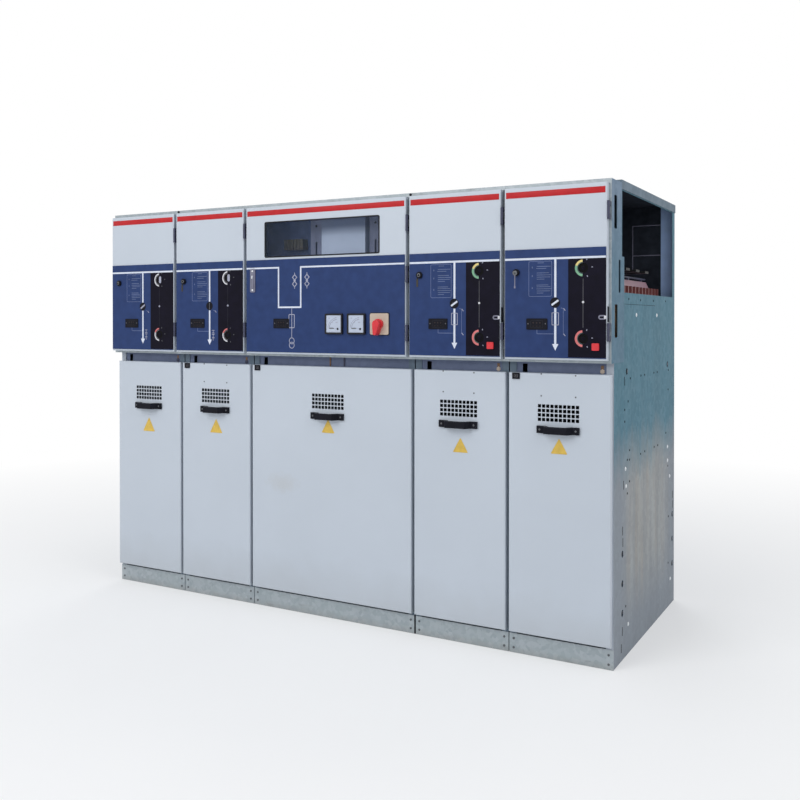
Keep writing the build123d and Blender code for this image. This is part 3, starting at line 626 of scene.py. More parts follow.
# painted light: a paler zinc on the front of the end flange
paintFaces("busbar_frames", stripZinc, lambda middle, normal: normal[1] < -mostly
           and middle[1] > compartmentSet["flangeFace"] and abs(middle[0]) > compartmentSet["flange"])
# painted shade on the back wall of the metering box
paintFaces("metering_box", boxShade, lambda middle, normal:
           normal[1] < -mostly and middle[1] > compartmentSet["boxBack"])
for name in ("instrument_boxes", "metering_box", "end_box_sides", "inner_box_sides"):
    paintFaces(name, finishes["plinth_paint"], lambda middle, normal:
               normal[1] < -squareOn and middle[1] < compartmentSet["boxEdge"])

# the pull catch of the metering door, among that door's fittings
catchReach = 70
paintFaces("panel_fittings_3", catchGrey, lambda middle, normal: middle[0] < leftEdge[3] + catchReach)
print("finishes made:", len(bpy.data.materials))

# red strip along the top of each upper door
headerSet = {"low": 1585, "high": 1606, "left": 11, "right": 15, "proud": 0.8, "inside": 0.3, "edge": 0.35}
for n in cubicles:
    low = (leftEdge[n] + headerSet["left"], doorFront - headerSet["proud"], headerSet["low"])
    high = (rightEdge[n] - headerSet["right"], doorFront + headerSet["inside"], headerSet["high"])
    strip = addBlock(low, high, headerSet["edge"], 2)
    finishPiece(dress([strip], headerRed), f"headerStrip_{n}", f"upper_door_{n}")

# one mimic diagram: a bus line over all panels and a feeder down to its cable arrow
lineSet = {"width": 7, "feederWidth": 7.4, "proud": 0.5, "under": 0.05, "bus": 1375, "feeder": 190,
           "arrow": 1065, "arrowWide": 22, "arrowTall": 22, "discHigh": 1244, "discLow": 1208}
busProud, feederProud = lineSet["proud"], lineSet["proud"] - lineSet["under"]
for n in narrow:
    lowX, highX = panelLow[n][0], panelHigh[n][0]
    middleX, long = (lowX + highX) / 2, highX - lowX - 1
    lines = [addBar(middleX, lineSet["bus"], long, lineSet["width"], panelFront, busProud)]
    headTop = lineSet["arrow"] + lineSet["arrowTall"]
    for high, low in ((lineSet["bus"], lineSet["discHigh"]), (lineSet["discLow"], headTop - 1)):
        middleZ, tall = (high + low) / 2, high - low
        lines.append(panelBar(n, lineSet["feeder"], middleZ, lineSet["feederWidth"], tall, feederProud))
    head = (leftEdge[n] + lineSet["feeder"], panelSeat, headTop - lineSet["arrowTall"] / 3)
    lines.append(addPolygon(head, 3, lineSet["arrowWide"], lineSet["arrowTall"], busProud, 180))
    finishPiece(dress(lines, linePaint), f"mimicLine_{n}", f"upper_door_{n}")

# thin parts of the diagram: a framed note of plain bars, the display lead, fuse box and earth marks
# a frame is its depth, corner and border, and a bar is its place, width and height
noteSet = {"edges": (95, 178, 1247, 1367), "frame": (0.4, 5, 1.4), "proud": 0.3, "barTall": 2.2,
           "bars": ((138, 1361, 22), (149, 1349, 50), (140, 1342, 36), (146, 1327, 44), (150, 1320, 52),
                    (148, 1313, 48), (138, 1306, 28), (144, 1286, 42), (148, 1280, 50), (150, 1273, 54),
                    (148, 1266, 48), (136, 1259, 24)),
           "dots": ((108, 1346, 3, 6), (108, 1317, 3, 6), (108, 1276, 3, 6))}
dividerSet = {"across": 209, "proud": 0.4,
              "bars": ((1125, 14, 2.2), (1120, 2.2, 10), (1114, 13, 2.4), (1108, 13, 2.4), (1101, 2.2, 12),
                       (1095, 14, 2.2), (1090, 9, 2.2), (1085, 5, 2.2))}
thinSet = {"proud": 0.35, "lead": 125, "leadTop": 1136, "leadLow": 1121, "leadWide": 1.8,
           "blade": (214, 1207, 10, 1.6), "bladeTurn": 15, "link": 218, "linkWide": 1.3, "linkProud": 0.3,
           "hook": 222, "hookHigh": 1203, "hookLow": 1118, "hookSize": (10, 2.4), "hookProud": 0.4,
           "hookTurn": 50, "fuse": (177.5, 202.5, 1150, 1193), "fuseFrame": (0.7, 2, 2.2)}
for n in narrow:
    origin = (leftEdge[n], panelSeat, 0)
    note = dress([addPlate(origin, noteSet["edges"], *noteSet["frame"])], fadedLine)
    strokes = [panelBar(n, across, z, length, noteSet["barTall"], noteSet["proud"])
               for across, z, length in noteSet["bars"]]
    strokes += [panelBar(n, *dot, noteSet["proud"]) for dot in noteSet["dots"]]
    note += dress(strokes, faintPrint)
    lead, leadTop, leadLow = thinSet["lead"], thinSet["leadTop"], thinSet["leadLow"]
    leadWide, leadLong = thinSet["leadWide"], lineSet["feeder"] - lead
    thin = [panelBar(n, lead, (leadTop + leadLow) / 2, leadWide, leadTop - leadLow, thinSet["proud"]),
            panelBar(n, lead + leadLong / 2, leadLow, leadLong, leadWide, thinSet["proud"]),
            panelBar(n, *thinSet["blade"], thinSet["proud"], thinSet["bladeTurn"])]
    heights = [thinSet["hookHigh"]]
    if n in fused:
        heights.append(thinSet["hookLow"])
        thin.append(panelBar(n, thinSet["link"], sum(heights) / 2, thinSet["linkWide"],
                             heights[0] - heights[1], thinSet["linkProud"]))
    marks = [panelBar(n, thinSet["hook"], z, *thinSet["hookSize"], thinSet["hookProud"], thinSet["hookTurn"])
             for z in heights]
    if n in fused:
        marks.append(addPlate(origin, thinSet["fuse"], *thinSet["fuseFrame"]))
    else:
        # earthed divider beside the arrow
        marks += [panelBar(n, dividerSet["across"], z, wide, tall, dividerSet["proud"])
                  for z, wide, tall in dividerSet["bars"]]
    finishPiece(note + dress(thin, fadedLine) + dress(marks, paleLine), f"mimicThin_{n}",
                f"upper_door_{n}")

# bar of the round switch indicator: slanted where the switch is open
indicatorSet = {"across": 189, "height": 1226, "reach": 20, "length": 29, "width": 6.5, "uprightWidth": 2.5,
                "proud": 0.4, "slant": {1: 56, 2: 0, 4: 56, 5: 56},
                "tones": {1: paleLine, 2: greyLine, 4: linePaint, 5: linePaint}}
for n in narrow:
    x, z = leftEdge[n] + indicatorSet["across"], indicatorSet["height"]
    face = fittingFront(n, x, z, lambda across, up: math.hypot(across, up) < indicatorSet["reach"])
    turn = indicatorSet["slant"][n]
    width = indicatorSet["width"] if turn else indicatorSet["uprightWidth"]
    mark = addBar(x, z, width, indicatorSet["length"], face, indicatorSet["proud"], turn)
    dress([mark], indicatorSet["tones"][n])
    finishPiece([mark], f"indicatorMark_{n}", f"upper_door_{n}")

# operating dials: coloured half rings, marks and the dark socket in each well
dialSet = {"rightInset": 77, "heights": (1340, 1106), "inner": {True: 20.5, False: 22.5}, "outer": 28,
           "proud": 0.5, "shade": (17.6, 20.2, 95, 265, 0.35), "tickAt": 31, "tickAngles": (66, 4, -62),
           "tickSize": (5, 2.6), "tickProud": 0.4, "socket": (16.8, 0.9, 0.2, 36, 8, 0.6),
           "drive": (7.5, 1.6, 0.4, 6, 2.2, 1.0), "stem": (1142, 1305), "stemWide": 1.5, "stemProud": 0.35,
           "hub": 1227, "hubSize": (4, 0.7, 0.25, 20)}
halfRings = {True: (((92, 160, dialCream), (160, 266, dialGreen)), ((95, 265, dialPink),)),
             False: (((92, 268, dialWhite),), ((92, 160, dialPink), (160, 268, dialWhite)))}
haspSet = {"loop": ((-25, 1, 1169, 1184), 2.2, 7, 4.2),
           "shackle": ((-6, -2.6, 1171), (2, sunk, 1182), 0.8, 2),
           "flap": ((2.8, 6, 1161), (4.6, 20, 1212), 0.4)}
pointerSet = {"plate": ((-1, 11, 1326, 1355), 1.2, 5), "sink": (2.5, 0.4)}
for n in narrow:
    isFused = n in fused
    x = panelHigh[n][0] - dialSet["rightInset"]
    parts = []
    for z, rings in zip(dialSet["heights"], halfRings[isFused]):
        centre = (x, panelSeat, z)
        for start, end, tone in rings:
            ring = addArc(centre, dialSet["inner"][isFused], dialSet["outer"], start, end, dialSet["proud"])
            parts += dress([ring], tone)
        parts += dress([addArc(centre, *dialSet["shade"])], dialShade if isFused else greyLine)
        ticks = []
        for angle in dialSet["tickAngles"]:
            away, turn = dialSet["tickAt"], math.radians(angle)
            ticks.append(addBar(x + away * math.cos(turn), z + away * math.sin(turn), *dialSet["tickSize"],
                                panelFront, dialSet["tickProud"], -angle))
        parts += dress(ticks, paleLine if isFused else greyLine)
        parts += dress([addScrew((x, doorSeat, z), *dialSet["socket"])], holeDark)
        parts += dress([addScrew((x, doorFront - sunk, z), *dialSet["drive"])], operatingBlack)
    low, high = dialSet["stem"]
    stem = addBar(x, (high + low) / 2, dialSet["stemWide"], high - low, panelFront, dialSet["stemProud"])
    hub = addDisc((x, panelSeat, dialSet["hub"]), *dialSet["hubSize"])
    parts += dress([stem], greyLine if isFused else frameDark)
    parts += dress([hub], dialWhite if isFused else paleLine)
    if isFused:
        # padlock hasp that comes out at the edge of the door
        edgeX = panelHigh[n][0]
        parts += dress([addPlate((edgeX, panelSeat, 0), *haspSet["loop"])], catchGrey)
        parts += dress([addBlockAt((edgeX, panelFront, 0), *haspSet["shackle"])], dialWhite)
        parts += dress([addBlockAt((edgeX, panelFront, 0), *haspSet["flap"])], operatingBlack)
    else:
        # pale pointer hung in the upper dial
        pointer = addPlate((x, panelSeat, 0), *pointerSet["plate"])
        parts += dress([sinkMiddle(pointer, *pointerSet["sink"])], paleLine)
    finishPiece(parts, f"dials_{n}", f"upper_door_{n}")
print("dials and diagrams done")

# door locks, with a key in one of them and tags on others
lockSet = {"across": 50, "height": 1330, "barrel": (6.5, 1.9, 0.4, 24, 2.2, 0.6), "inside": 1.5,
           "slot": (1.4, 6), "slotProud": 0.4, "keyIn": 5, "tagOn": (2, 4)}
keySet = {"bowAt": (-4, -2), "bow": (3.5, 8, 0, 360, 1.6), "stem": ((-1.2, -5.2, -4), (1.2, 0.2, 4), 0.3),
          "blade": ((-1.7, -6, -48), (1.7, -4.6, -9), 0.5), "tip": ((-2.8, -6.2, -54), (2.8, -4.4, -46), 0.6)}
tagSet = {"plate": ((-13, -6, -42, -12), 1.2, 2.5), "sink": (1.4, 0.4),
          "wire": ((-10, -2.4, -14), (-8.6, sunk, -2), 0.4)}
for n in narrow:
    x, z = leftEdge[n] + lockSet["across"], lockSet["height"]
    lockFront = corners(f"panel_fittings_{n}")[0][1]
    parts = dress([addScrew((x, lockFront + lockSet["inside"], z), *lockSet["barrel"])], darkSteel)
    parts += dress([addBar(x, z, *lockSet["slot"], lockFront - sunk, lockSet["slotProud"])], holeDark)
    if n == lockSet["keyIn"]:
        out, up = keySet["bowAt"]
        bow = addArc((x, lockFront + out, z + up), *keySet["bow"])
        stem, blade, tip = [addBlockAt((x, lockFront, z), *keySet[part]) for part in ("stem", "blade", "tip")]
        parts += dress([bow, stem], darkSteel) + dress([blade, tip], catchGrey)
    elif n in lockSet["tagOn"]:
        tag = sinkMiddle(addPlate((x, panelSeat, z), *tagSet["plate"]), *tagSet["sink"])
        wire = addBlockAt((x, panelFront, z), *tagSet["wire"])
        parts += dress([tag, wire], finishes["terminal_brown"])
    finishPiece(parts, f"doorLock_{n}", f"upper_door_{n}")

# live displays: frame, three lamps with a dash under each, and two screws
displaySet = {"across": {1: 125, 2: 125, 3: 182, 4: 125, 5: 125}, "height": 1154, "reach": (38.5, 20),
              "screw": (2.2, 0.9, 0.3, 14, 0.9, 0.4), "screwAt": (-31, 1), "screwApart": 62,
              "lamp": (2.6, 1.2, 0.7, 16), "lampUp": 4, "lampApart": 12,
              "frame": ((-22, 22, -13, 13), 0.35, 3, 1), "dash": (5, 2), "dashDown": 7, "dashProud": 0.35}
for n in cubicles:
    x, z = leftEdge[n] + displaySet["across"][n], displaySet["height"]
    wide, tall = displaySet["reach"]
    face = fittingFront(n, x, z, lambda across, up: abs(across) < wide and abs(up) < tall)
    across, up = displaySet["screwAt"]
    screw = addScrew((x + across, face + sunk, z + up), *displaySet["screw"])
    apart = displaySet["lampApart"]
    lamp = addDisc((x - apart, face + sunk, z + displaySet["lampUp"]), *displaySet["lamp"])
    parts = dress([screw] + copied(screw, ((displaySet["screwApart"], 0, 0),)), greyLine)
    parts += dress([lamp] + copied(lamp, ((apart, 0, 0), (apart * 2, 0, 0))), lampDark)
    parts += dress([addPlate((x, face + sunk, z), *displaySet["frame"])], frameDark)
    dashZ = z - displaySet["dashDown"]
    parts += dress([addBar(x + shift, dashZ, *displaySet["dash"], face, displaySet["dashProud"])
                    for shift in (-apart, 0, apart)], lampDark)
    finishPiece(parts, f"liveDisplay_{n}", f"upper_door_{n}")

# metering door: the bus line runs down and up again round its transformer, with two plug marks
meterLineSet = {"width": 6.3, "left": 168, "right": 275, "bottom": 1218, "lowest": 0.08, "endGap": 0.5,
                "stem": 232, "stemLow": 1098, "stemHigh": 1214, "stemWide": 2.6, "stemProud": 0.35,
                "fuse": (217, 246, 1136, 1191), "fuseFrame": (0.6, 5, 3),
                "rings": (1086, 1069), "ring": (10.4, 13, 0, 360, 0.45)}
plugSet = {"across": (246, 304.5), "height": 1322, "frames": (13, -13), "frame": (25, 26, 0.5), "border": 3.2,
           "core": (12, 11, 0.6), "pins": (28, -28), "pin": (2.6, 7, 0.4)}
left, wide = leftEdge[3], meterLineSet["width"]
legs = [left + meterLineSet["left"], left + meterLineSet["right"]]
top, bottom = lineSet["bus"], meterLineSet["bottom"]
lines = []
for leg, edgeX, side in ((legs[0], panelLow[3][0], 1), (legs[1], panelHigh[3][0], -1)):
    ends = sorted((edgeX + side * meterLineSet["endGap"], leg + side * wide / 2))
    lines.append(addBar(sum(ends) / 2, top, ends[1] - ends[0], wide, panelFront, busProud))
    lines.append(addBar(leg, (top + bottom) / 2, wide, top - bottom, panelFront, feederProud))
lines.append(addBar(sum(legs) / 2, bottom, legs[1] - legs[0] + wide, wide, panelFront,
                    busProud - meterLineSet["lowest"]))
low, high = meterLineSet["stemLow"], meterLineSet["stemHigh"]
thin = [panelBar(3, meterLineSet["stem"], (high + low) / 2, meterLineSet["stemWide"], high - low,
                 meterLineSet["stemProud"])]
thin.append(addPlate((left, panelSeat, 0), meterLineSet["fuse"], *meterLineSet["fuseFrame"]))
thin += [addArc((left + meterLineSet["stem"], panelSeat, z), *meterLineSet["ring"])
         for z in meterLineSet["rings"]]
for across in plugSet["across"]:
    x, z = left + across, plugSet["height"]
    thin += [addPolygon((x, panelSeat, z + up), 4, *plugSet["frame"], border=plugSet["border"])
             for up in plugSet["frames"]]
    thin.append(addPolygon((x, panelSeat, z), 4, *plugSet["core"]))
    wide, tall, proud = plugSet["pin"]
    thin += [addBar(x, z + up, wide, tall, panelFront, proud) for up in plugSet["pins"]]
finishPiece(dress(lines, linePaint) + dress(thin, paleLine), "mimicLine_3", "upper_door_3")

# pull catch: raised grip, its two screws and a small bright bar that is a painted glint
catchSet = {"across": 41, "height": 1326, "grip": ((-7, -7, -30), (7, -3.8, 30), 1.4, 2), "sink": (2.2, 0.8),
            "screw": (3.6, 1.4, 0.4, 16, 1.4, 0.6), "screwOut": 4.1, "screwUp": 38,
            "glint": (5, 12), "glintAt": (-1, 14), "glintOut": 6.2, "glintProud": 0.3, "glintTurn": 12}
x, z = leftEdge[3] + catchSet["across"], catchSet["height"]
grip = sinkMiddle(addBlockAt((x, panelFront, z), *catchSet["grip"]), *catchSet["sink"])
screw = addScrew((x, panelFront - catchSet["screwOut"], z + catchSet["screwUp"]), *catchSet["screw"])
# painted glint: a small bright bar on the grip
across, up = catchSet["glintAt"]
glint = addBar(x + across, z + up, *catchSet["glint"], panelFront - catchSet["glintOut"],
               catchSet["glintProud"], catchSet["glintTurn"])
bright = [screw] + copied(screw, ((0, 0, -2 * catchSet["screwUp"]),)) + [glint]
finishPiece(dress([grip], catchGrey) + dress(bright, boltSteel), "doorCatch", "upper_door_3")

# dark seat round the selector's plate: a black base, and painted shadow along the plate's edges
seatSet = {"margin": 3, "frame": (1.6, 6, 3.4)}
(lowX, _, lowZ), (highX, _, highZ) = corners("selector_plate")
margin = seatSet["margin"]
seat = addPlate((0, panelSeat, 0), (lowX - margin, highX + margin, lowZ - margin, highZ + margin),
                *seatSet["frame"])
finishPiece(dress([seat], frameDark), "selectorSeat", "upper_door_3")

# meters: pale scale plate, faint marks, zero screw and pointer
meterSet = {"shares": (0.576, 0.71), "height": 1153, "half": 32.6, "recess": 2.5, "plate": (-0.7, sunk, 0.2),
            "scaleAt": (18, -0.5, -20), "scales": ((37, 38.6, 92, 178, 0.3), (43, 44.2, 92, 178, 0.3)),
            "marks": ((-20, 22, 6, 4), (4, 14, 7, 3), (14, 6, 9, 3), (-6, 6, 5, 3), (10, 24, 6, 2)),
            "markOut": 0.6, "markProud": 0.25, "pivot": (19, -19), "needle": 168, "needleAt": 17,
            "needleSize": (30, 0.9), "needleOut": 0.8, "needleProud": 0.4,
            "foot": (-9, -17, 22, 4), "footProud": 0.3, "zero": (4.2, 1.4, 0.5, 20, 1.6, 0.5), "zeroOut": 0.5}
for number, share in enumerate(meterSet["shares"], start=1):
    x, z = leftEdge[3] + (rightEdge[3] - leftEdge[3]) * share, meterSet["height"]
    floorY, half = meterFront + meterSet["recess"], meterSet["half"]
    place, markY = (x, floorY, z), floorY - meterSet["markOut"]
    front, back, edge = meterSet["plate"]
    plate = addBlockAt(place, (-half, front, -half), (half, back, half), edge)
    scaleAt = [p + a for p, a in zip(place, meterSet["scaleAt"])]
    scale = [addArc(scaleAt, *arc) for arc in meterSet["scales"]]
    parts = dress([plate], meterFace) + dress(scale, catchGrey)
    faint = [addBar(x + across, z + up, length, tall, markY, meterSet["markProud"])
             for across, up, length, tall in meterSet["marks"]]
    turn, away = math.radians(meterSet["needle"]), meterSet["needleAt"]
    pivotX, pivotZ = x + meterSet["pivot"][0], z + meterSet["pivot"][1]
    needleX, needleZ = pivotX + away * math.cos(turn), pivotZ + away * math.sin(turn)
    faint.append(addBar(needleX, needleZ, *meterSet["needleSize"], floorY - meterSet["needleOut"],
                        meterSet["needleProud"], -meterSet["needle"]))
    parts += dress(faint, paleLine)
    across, up, length, tall = meterSet["foot"]
    parts += dress([addBar(x + across, z + up, length, tall, markY, meterSet["footProud"])], darkSteel)
    zero = addScrew((pivotX, floorY - meterSet["zeroOut"], pivotZ), *meterSet["zero"])
    parts += dress([zero], finishes["meter_case"])
    finishPiece(parts, f"meterFace_{number}", "upper_door_3")

# rubber edge round the viewing window, and the dark fixings on the uprights behind it
windowSet = {"edges": (97.75, 630.5, 1416, 1559), "frame": (1.6, 7, 5),
             "fixing": (5, 1.2, 0.3, 18, 1.6, 0.5), "fixingsAt": (269, 545), "fixingHeight": 1545}
edge = addPlate((leftEdge[3], doorSeat, 0), windowSet["edges"], *windowSet["frame"])
finishPiece(dress([edge], rubber), "windowEdge", "upper_door_3")
dots = [addScrew((leftEdge[3] + across, uprightFront + sunk, windowSet["fixingHeight"]), *windowSet["fixing"])
        for across in windowSet["fixingsAt"]]
finishPiece(dress(dots, rubber), "uprightFixings", "cubicles")
print("metering door done")

# lower covers: bare yellow plates, handle screws, small screws and interlock blocks
triangleSet = {"top": 765, "height": 53, "width": 60, "proud": 1.0, "corner": 4, "sink": (2.2, 0.3),
               "rise": {1: -24, 2: -11, 3: 16, 4: -20, 5: 0}, "shift": {1: 0, 2: 4, 3: 2, 4: 8, 5: 3},
               "scale": {1: 1.14, 2: 1.1, 3: 1, 4: 1, 5: 1}}
coverSet = {"screwed": (2, 4, 5), "screws": ((-61, 983), (61, 980), (-61, 908), (61, 907)),
            "screw": (2.8, 1.0, 0.3, 14, 1.0, 0.4), "handleScrew": (3.6, 2.0, 0.6, 18, 1.4, 0.8),
            "handleSides": (-64, 64), "handleFoot": 8.9}
interlockSet = {"on": (2, 3, 5), "block": ((21, -5, 963), (48, 0.3, 985), 1.2, 2), "sink": (4, 2),
                "middle": 34.5, "floor": 3, "frame": ((-7, 7, 969, 980), 0.5, 2, 1.5), "bar": (974.5, 3, 5),
                "proud": 0.4}
handleScrew = addScrew((0, 0, 0), *coverSet["handleScrew"])
coverScrew = addScrew((0, 0, 0), *coverSet["screw"])
for n in cubicles:
    x = (leftEdge[n] + rightEdge[n]) / 2
    wide, tall = [triangleSet[size] * triangleSet["scale"][n] for size in ("width", "height")]
    middleX = x + triangleSet["shift"][n]
    middleZ = triangleSet["top"] + triangleSet["rise"][n] - tall * 2 / 3
    triangle = addPolygon((middleX, coverSeat, middleZ), 3, wide, tall, triangleSet["proud"], 0,
                          triangleSet["corner"])
    finishPiece(dress([sinkMiddle(triangle, *triangleSet["sink"])], plateYellow), f"trianglePlate_{n}",
                f"lower_cover_{n}")
    handleLow, handleHigh = corners(f"door_handle_{n}")
    y, z = coverFront - coverSet["handleFoot"], (handleLow[2] + handleHigh[2]) / 2
    fixings = copied(handleScrew, [(x + side, y, z) for side in coverSet["handleSides"]])
    if n in coverSet["screwed"]:
        fixings += copied(coverScrew, [(x + across, coverSeat, up) for across, up in coverSet["screws"]])
    finishPiece(dress(fixings, darkSteel), f"coverScrews_{n}", f"lower_cover_{n}")
    if n in interlockSet["on"]:
        block = addBlockAt((leftEdge[n], coverFront, 0), *interlockSet["block"])
        parts = dress([sinkMiddle(block, *interlockSet["sink"])], finishes["black_plastic"])
        middleX, floorY = leftEdge[n] + interlockSet["middle"], coverFront - interlockSet["floor"]
        lines = [addPlate((middleX, floorY + sunk, 0), *interlockSet["frame"]),
                 addBar(middleX, *interlockSet["bar"], floorY, interlockSet["proud"])]
        finishPiece(parts + dress(lines, greyLine), f"interlock_{n}", f"lower_cover_{n}")
removePieces(handleScrew, coverScrew)
print("lower covers done")

# plinth: two screws at both ends of every plate, and the open joint beside the metering cubicle
plinthSet = {"inset": 18, "heights": (18, 50), "screw": (4.2, 1.8, 0.6, 18, 1.6, 0.8),
             "joint": ((-3.5, -0.25, 0.5), (3.5, 1, 68), 0.1)}
plinthScrew = addScrew((0, 0, 0), *plinthSet["screw"])
fixings = []
for n in cubicles:
    for side in (leftEdge[n] + plinthSet["inset"], rightEdge[n] - plinthSet["inset"]):
        fixings += copied(plinthScrew, [(side, plinthFront + sunk, z) for z in plinthSet["heights"]])
joint = addBlockAt((rightEdge[3], plinthFront, 0), *plinthSet["joint"])
finishPiece(dress(fixings, darkSteel) + dress([joint], holeDark), "plinthFixings", "cubicles")
removePieces(plinthScrew)

# end plates: places are measured from the front edge of the plate backwards
endSet = {
    "bolt": (5.6, 2.1, 0.7, 6), "washer": (7.2, 0.8, 0.3, 24), "plug": (4.2, 0.7, 0.2, 18, 1.1, 0.5),
    "slit": ((-0.3, -2.6, -15), (0.3, 2.6, 15), 0.1), "shade": (16, 1, 0.2, 24, 3, 0.3), "shadeInside": 4.2,
    "seam": ((-0.2, 120, 1222), (0.2, 560, 1223.2), 0.05),
    "bolts": ((283, 1186), (585, 1186), (143, 653), (150, 592), (769, 655), (770, 599), (808, 530),
              (181, 104), (822, 106)),
    "holes": ((182, 1241), (342, 1240), (530, 1241), (732, 1243), (203, 963), (349, 965), (402, 965),
              (542, 966), (595, 966), (781, 965), (175, 884), (132, 858), (133, 817), (778, 886), (741, 714),
              (166, 681), (195, 678), (195, 711), (195, 602), (167, 564), (777, 576), (789, 368), (346, 679),
              (406, 681), (549, 680), (605, 680), (149, 175), (786, 179)),
    "slits": ((109, 444), (112, 404), (862, 446), (862, 405), (107, 99), (95, 44), (129, 957), (120, 600)),
    "coupling": ((108, 161), (108, 263), (108, 365), (858, 161), (858, 263), (858, 365), (159, 989),
                 (766, 989))}
for facing, face in (("right", endFace), ("left", -endFace)):
    away = outward[facing][0]
    bolt = addDisc((0, 0, 0), *endSet["bolt"], facing)
    washer = addDisc((0, 0, 0), *endSet["washer"], facing)
    plug = addScrew((0, 0, 0), *endSet["plug"], facing)
    slit = addBlock(*endSet["slit"])
    shade = addScrew((0, 0, 0), *endSet["shade"], facing)
    heads = []
    for y, z in endSet["bolts"]:
        for piece in (bolt, washer):
            heads += copied(piece, [(face - away * sunk, plateFront + y, z)])
    holes = copied(plug, [(face - away * sunk, plateFront + y, z) for y, z in endSet["holes"]])
    holes += copied(slit, [(face, plateFront + y, z) for y, z in endSet["slits"]])
    holes.append(addBlockAt((face, plateFront, 0), *endSet["seam"]))
    # the dark space behind each coupling hole
    inside = face - away * endSet["shadeInside"]
    holes += copied(shade, [(inside, plateFront + y, z) for y, z in endSet["coupling"]])
    parts = dress(heads, boltSteel) + dress(holes, holeDark)
    finishPiece(parts, f"endFixings_{facing}", "cubicles")
    removePieces(bolt, washer, plug, slit, shade)

# thin edges on the inside of the end cubicles' rear covers
seamSet = {"strips": ((946, 950, 1382, 1568), (950, 1064, 1438, 1442), (950, 1064, 1564, 1568)),
           "front": 3, "back": 1.9, "edge": 0.3}
seams = []
for side in (-1, 1):
    for lowX, highX, lowZ, highZ in seamSet["strips"]:
        ends = sorted((side * lowX, side * highX))
        seams.append(addBlock((ends[0], rearFace - seamSet["front"], lowZ),
                              (ends[1], rearFace - seamSet["back"], highZ), seamSet["edge"]))
finishPiece(dress(seams, catchGrey), "innerSeams", "cubicles")

# rear covers: bolts down both edges of every cover
rearSet = {"inset": 16, "heights": (90, 380, 670, 960, 1190, 1300, 1450, 1590), "bolt": (6.5, 1.9, 0.5, 6)}
rearBolt = addDisc((0, 0, 0), *rearSet["bolt"], "rear")
heads = []
for n in cubicles:
    for side in (leftEdge[n] + rearSet["inset"], rightEdge[n] - rearSet["inset"]):
        heads += copied(rearBolt, [(side, rearFace - sunk, z) for z in rearSet["heights"]])
finishPiece(dress(heads, boltSteel), "rearBolts", "cubicles")
removePieces(rearBolt)

# a rail on feet along the top of each switch body
railSet = {"domeDrop": 27, "across": 94, "rail": ((-5, -250, 9), (5, 250, 15), 1.2, 2),
           "foot": ((-4, -8, -0.5), (4, 8, 9.5), 0.6), "feet": (-190, 0, 190)}
bodyLow, bodyHigh = corners("switch_bodies")
domeTop, bodyMiddle = bodyHigh[2] - railSet["domeDrop"], (bodyLow[1] + bodyHigh[1]) / 2
rails = []
for n in narrow:
    x = (leftEdge[n] + rightEdge[n]) / 2 + railSet["across"] * (-1 if n == 1 else 1)
    rails.append(addBlockAt((x, bodyMiddle, domeTop), *railSet["rail"]))
    rails += [addBlockAt((x, bodyMiddle + y, domeTop), *railSet["foot"]) for y in railSet["feet"]]
finishPiece(dress(rails, hingeGrey), "domeRails", "cubicles")

# low studs and posts in the gap under the boxes, flat enough for a cover to be lifted past them
studSet = {"inset": 42, "rise": 9, "shank": ((-5, -1.2, 0), (5, sunk, 20), 0.4), "nut": (8.5, 1.9, 0.5, 6),
           "thread": (4, 0.9, 0.3, 16), "threadOut": 1.7, "collar": (5.5, 2.6, 0.6, 20, 2, 0.8),
           "collarAt": (20, 8),
           "nutTones": {1: hingeGrey, 2: hingeGrey, 4: finishes["cream_plate"], 5: finishes["cream_plate"]}}
studs = []
for n in narrow:
    x, z = rightEdge[n] - studSet["inset"], coverTop + studSet["rise"]
    shank = addBlockAt((x, barFront, z), *studSet["shank"])
    nut = addDisc((x, barSeat, z), *studSet["nut"])
    thread = addDisc((x, barFront - studSet["threadOut"], z), *studSet["thread"])
    across, up = studSet["collarAt"]
    collar = addScrew((x + across, barSeat, z + up), *studSet["collar"])
    studs += dress([shank], studBrass) + dress([nut, thread], studSet["nutTones"][n])
    studs += dress([collar], lampDark)
finishPiece(studs, "earthStuds", "cubicles")
postSet = {"post": ((-3, -2.6, 1), (3, sunk, 36), 0.8, 2), "places": ((372, studBrass), (437, hingeGrey))}
posts = []
for across, tone in postSet["places"]:
    posts += dress([addBlockAt((leftEdge[3] + across, barFront, coverTop), *postSet["post"])], tone)
finishPiece(posts, "gapPosts", "cubicles")

# dark plugs on the joints between the boxes, and dark strips down the joints for the joint gap and painted
# shade beside it
jointSet = {"plug": (5, 3, 1, 18, 1.8, 0.8), "plugHeight": 1628, "plugged": (1, 3),
            "gapShade": ((-6.8, -0.5, 1032), (4.6, sunk, 1620), 0.15)}
plugs = [addScrew((rightEdge[n], boxFront + sunk, jointSet["plugHeight"]), *jointSet["plug"])
         for n in jointSet["plugged"]]
finishPiece(dress(plugs, rubber), "jointPlugs", "cubicles")
# dark strips: the joint gap and painted shade beside it
gapShadeStrips = [addBlockAt((leftEdge[n], boxFront, 0), *jointSet["gapShade"]) for n in cubicles[1:]]
finishPiece(dress(gapShadeStrips, frameDark), "jointGapShade", "cubicles")
print("fixings done")

# floor, light and camera, in metres
floorSet = {"size": 30, "height": -0.0005, "near": 1.4, "far": 4.6, "lift": 0.35,
            "dark": (0.88, 0.885, 0.89), "pale": (0.92, 0.925, 0.93)}
ambient, white = (0.56, 0.58, 0.61), (1, 1, 1)
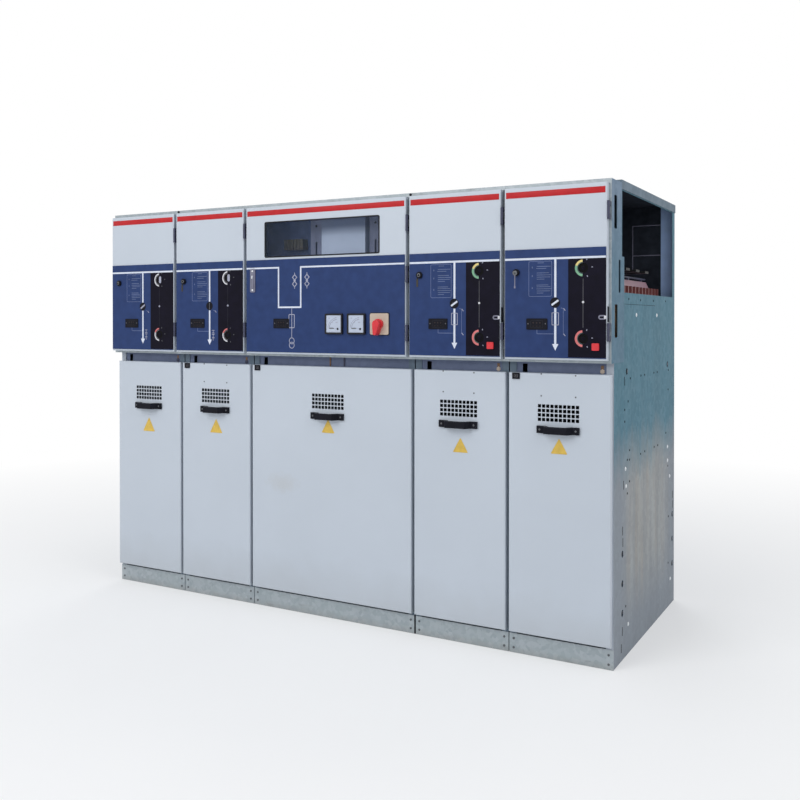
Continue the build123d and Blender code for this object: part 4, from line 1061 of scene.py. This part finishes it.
# each lamp has its place, target, size and power
lampSet = {"key": ((-1.5, -5.0, 4.0), (0.1, 0, 0.85), 3.5, 134),
           "fill": ((4.5, -1.5, 3.6), (0.6, 0, 0.8), 3.0, 48),
           "rear": ((-2.0, 5.2, 3.8), (-0.2, 0, 0.8), 3.5, 80)}
cameraSet = {"place": (1.984, -3.413, 1.167), "dip": 0.46, "turn": 29.06, "lens": 41.38, "sensor": 36,
             "shift": -0.0905}


# rays that see the white surroundings
def seenRays(finish):
    kinds = ("Is Camera Ray", "Is Glossy Ray", "Is Transmission Ray")
    direct, mirrored, through = [finish.node("ShaderNodeLightPath", output=kind) for kind in kinds]
    return direct + mirrored + through


# pale floor that keeps the shadow round the object and runs out to white
def floorFinish():
    made = Finish("studioFloor")
    made.set(colour=made.blend(made.noise(1.2, 3), floorSet["dark"], floorSet["pale"]), rough=0.9, shine=0.1)
    across, deep = made.along(0), made.along(1)
    away = made.span((across * across + deep * deep) ** 0.5, floorSet["near"], floorSet["far"])
    share = seenRays(made) * (floorSet["lift"] + away * (1 - floorSet["lift"]))
    glow = made.node("ShaderNodeEmission", None, {"Color": (*white, 1)})
    mixed = made.node("ShaderNodeMixShader", None, {0: share, 1: Wire(made, made.shader.outputs[0]), 2: glow})
    made.tree.links.new(mixed.socket, made.tree.nodes["Material Output"].inputs["Surface"])
    return made.material


clearSelection()
bpy.ops.mesh.primitive_plane_add(size=floorSet["size"], location=(0, 0, floorSet["height"]))
floor = applyPlace()
floor.name = "studioFloor"
dress([floor], floorFinish())

world = bpy.data.worlds.new("studio")
bpy.context.scene.world = world
world.use_nodes = True
sky = Finish("studio", world.node_tree)
tone = sky.blend(seenRays(sky), ambient, white)
world.node_tree.links.new(tone.socket, world.node_tree.nodes["Background"].inputs["Color"])

for place, target, size, power in lampSet.values():
    clearSelection()
    bpy.ops.object.light_add(type="AREA", location=place)
    lamp = bpy.context.object
    lamp.data.energy = power
    lamp.data.size = size
    aim = [t - p for t, p in zip(target, place)]
    flat = math.hypot(aim[0], aim[1])
    lamp.rotation_euler = (math.atan2(flat, -aim[2]), 0, math.atan2(-aim[0], aim[1]))

bpy.ops.object.camera_add(location=cameraSet["place"],
                          rotation=(math.radians(90 - cameraSet["dip"]), 0, math.radians(cameraSet["turn"])))
camera = bpy.context.object
camera.data.lens = cameraSet["lens"]
camera.data.sensor_width = cameraSet["sensor"]
camera.data.shift_y = cameraSet["shift"]
bpy.context.scene.camera = camera
bpy.context.scene.view_settings.view_transform = "Standard"
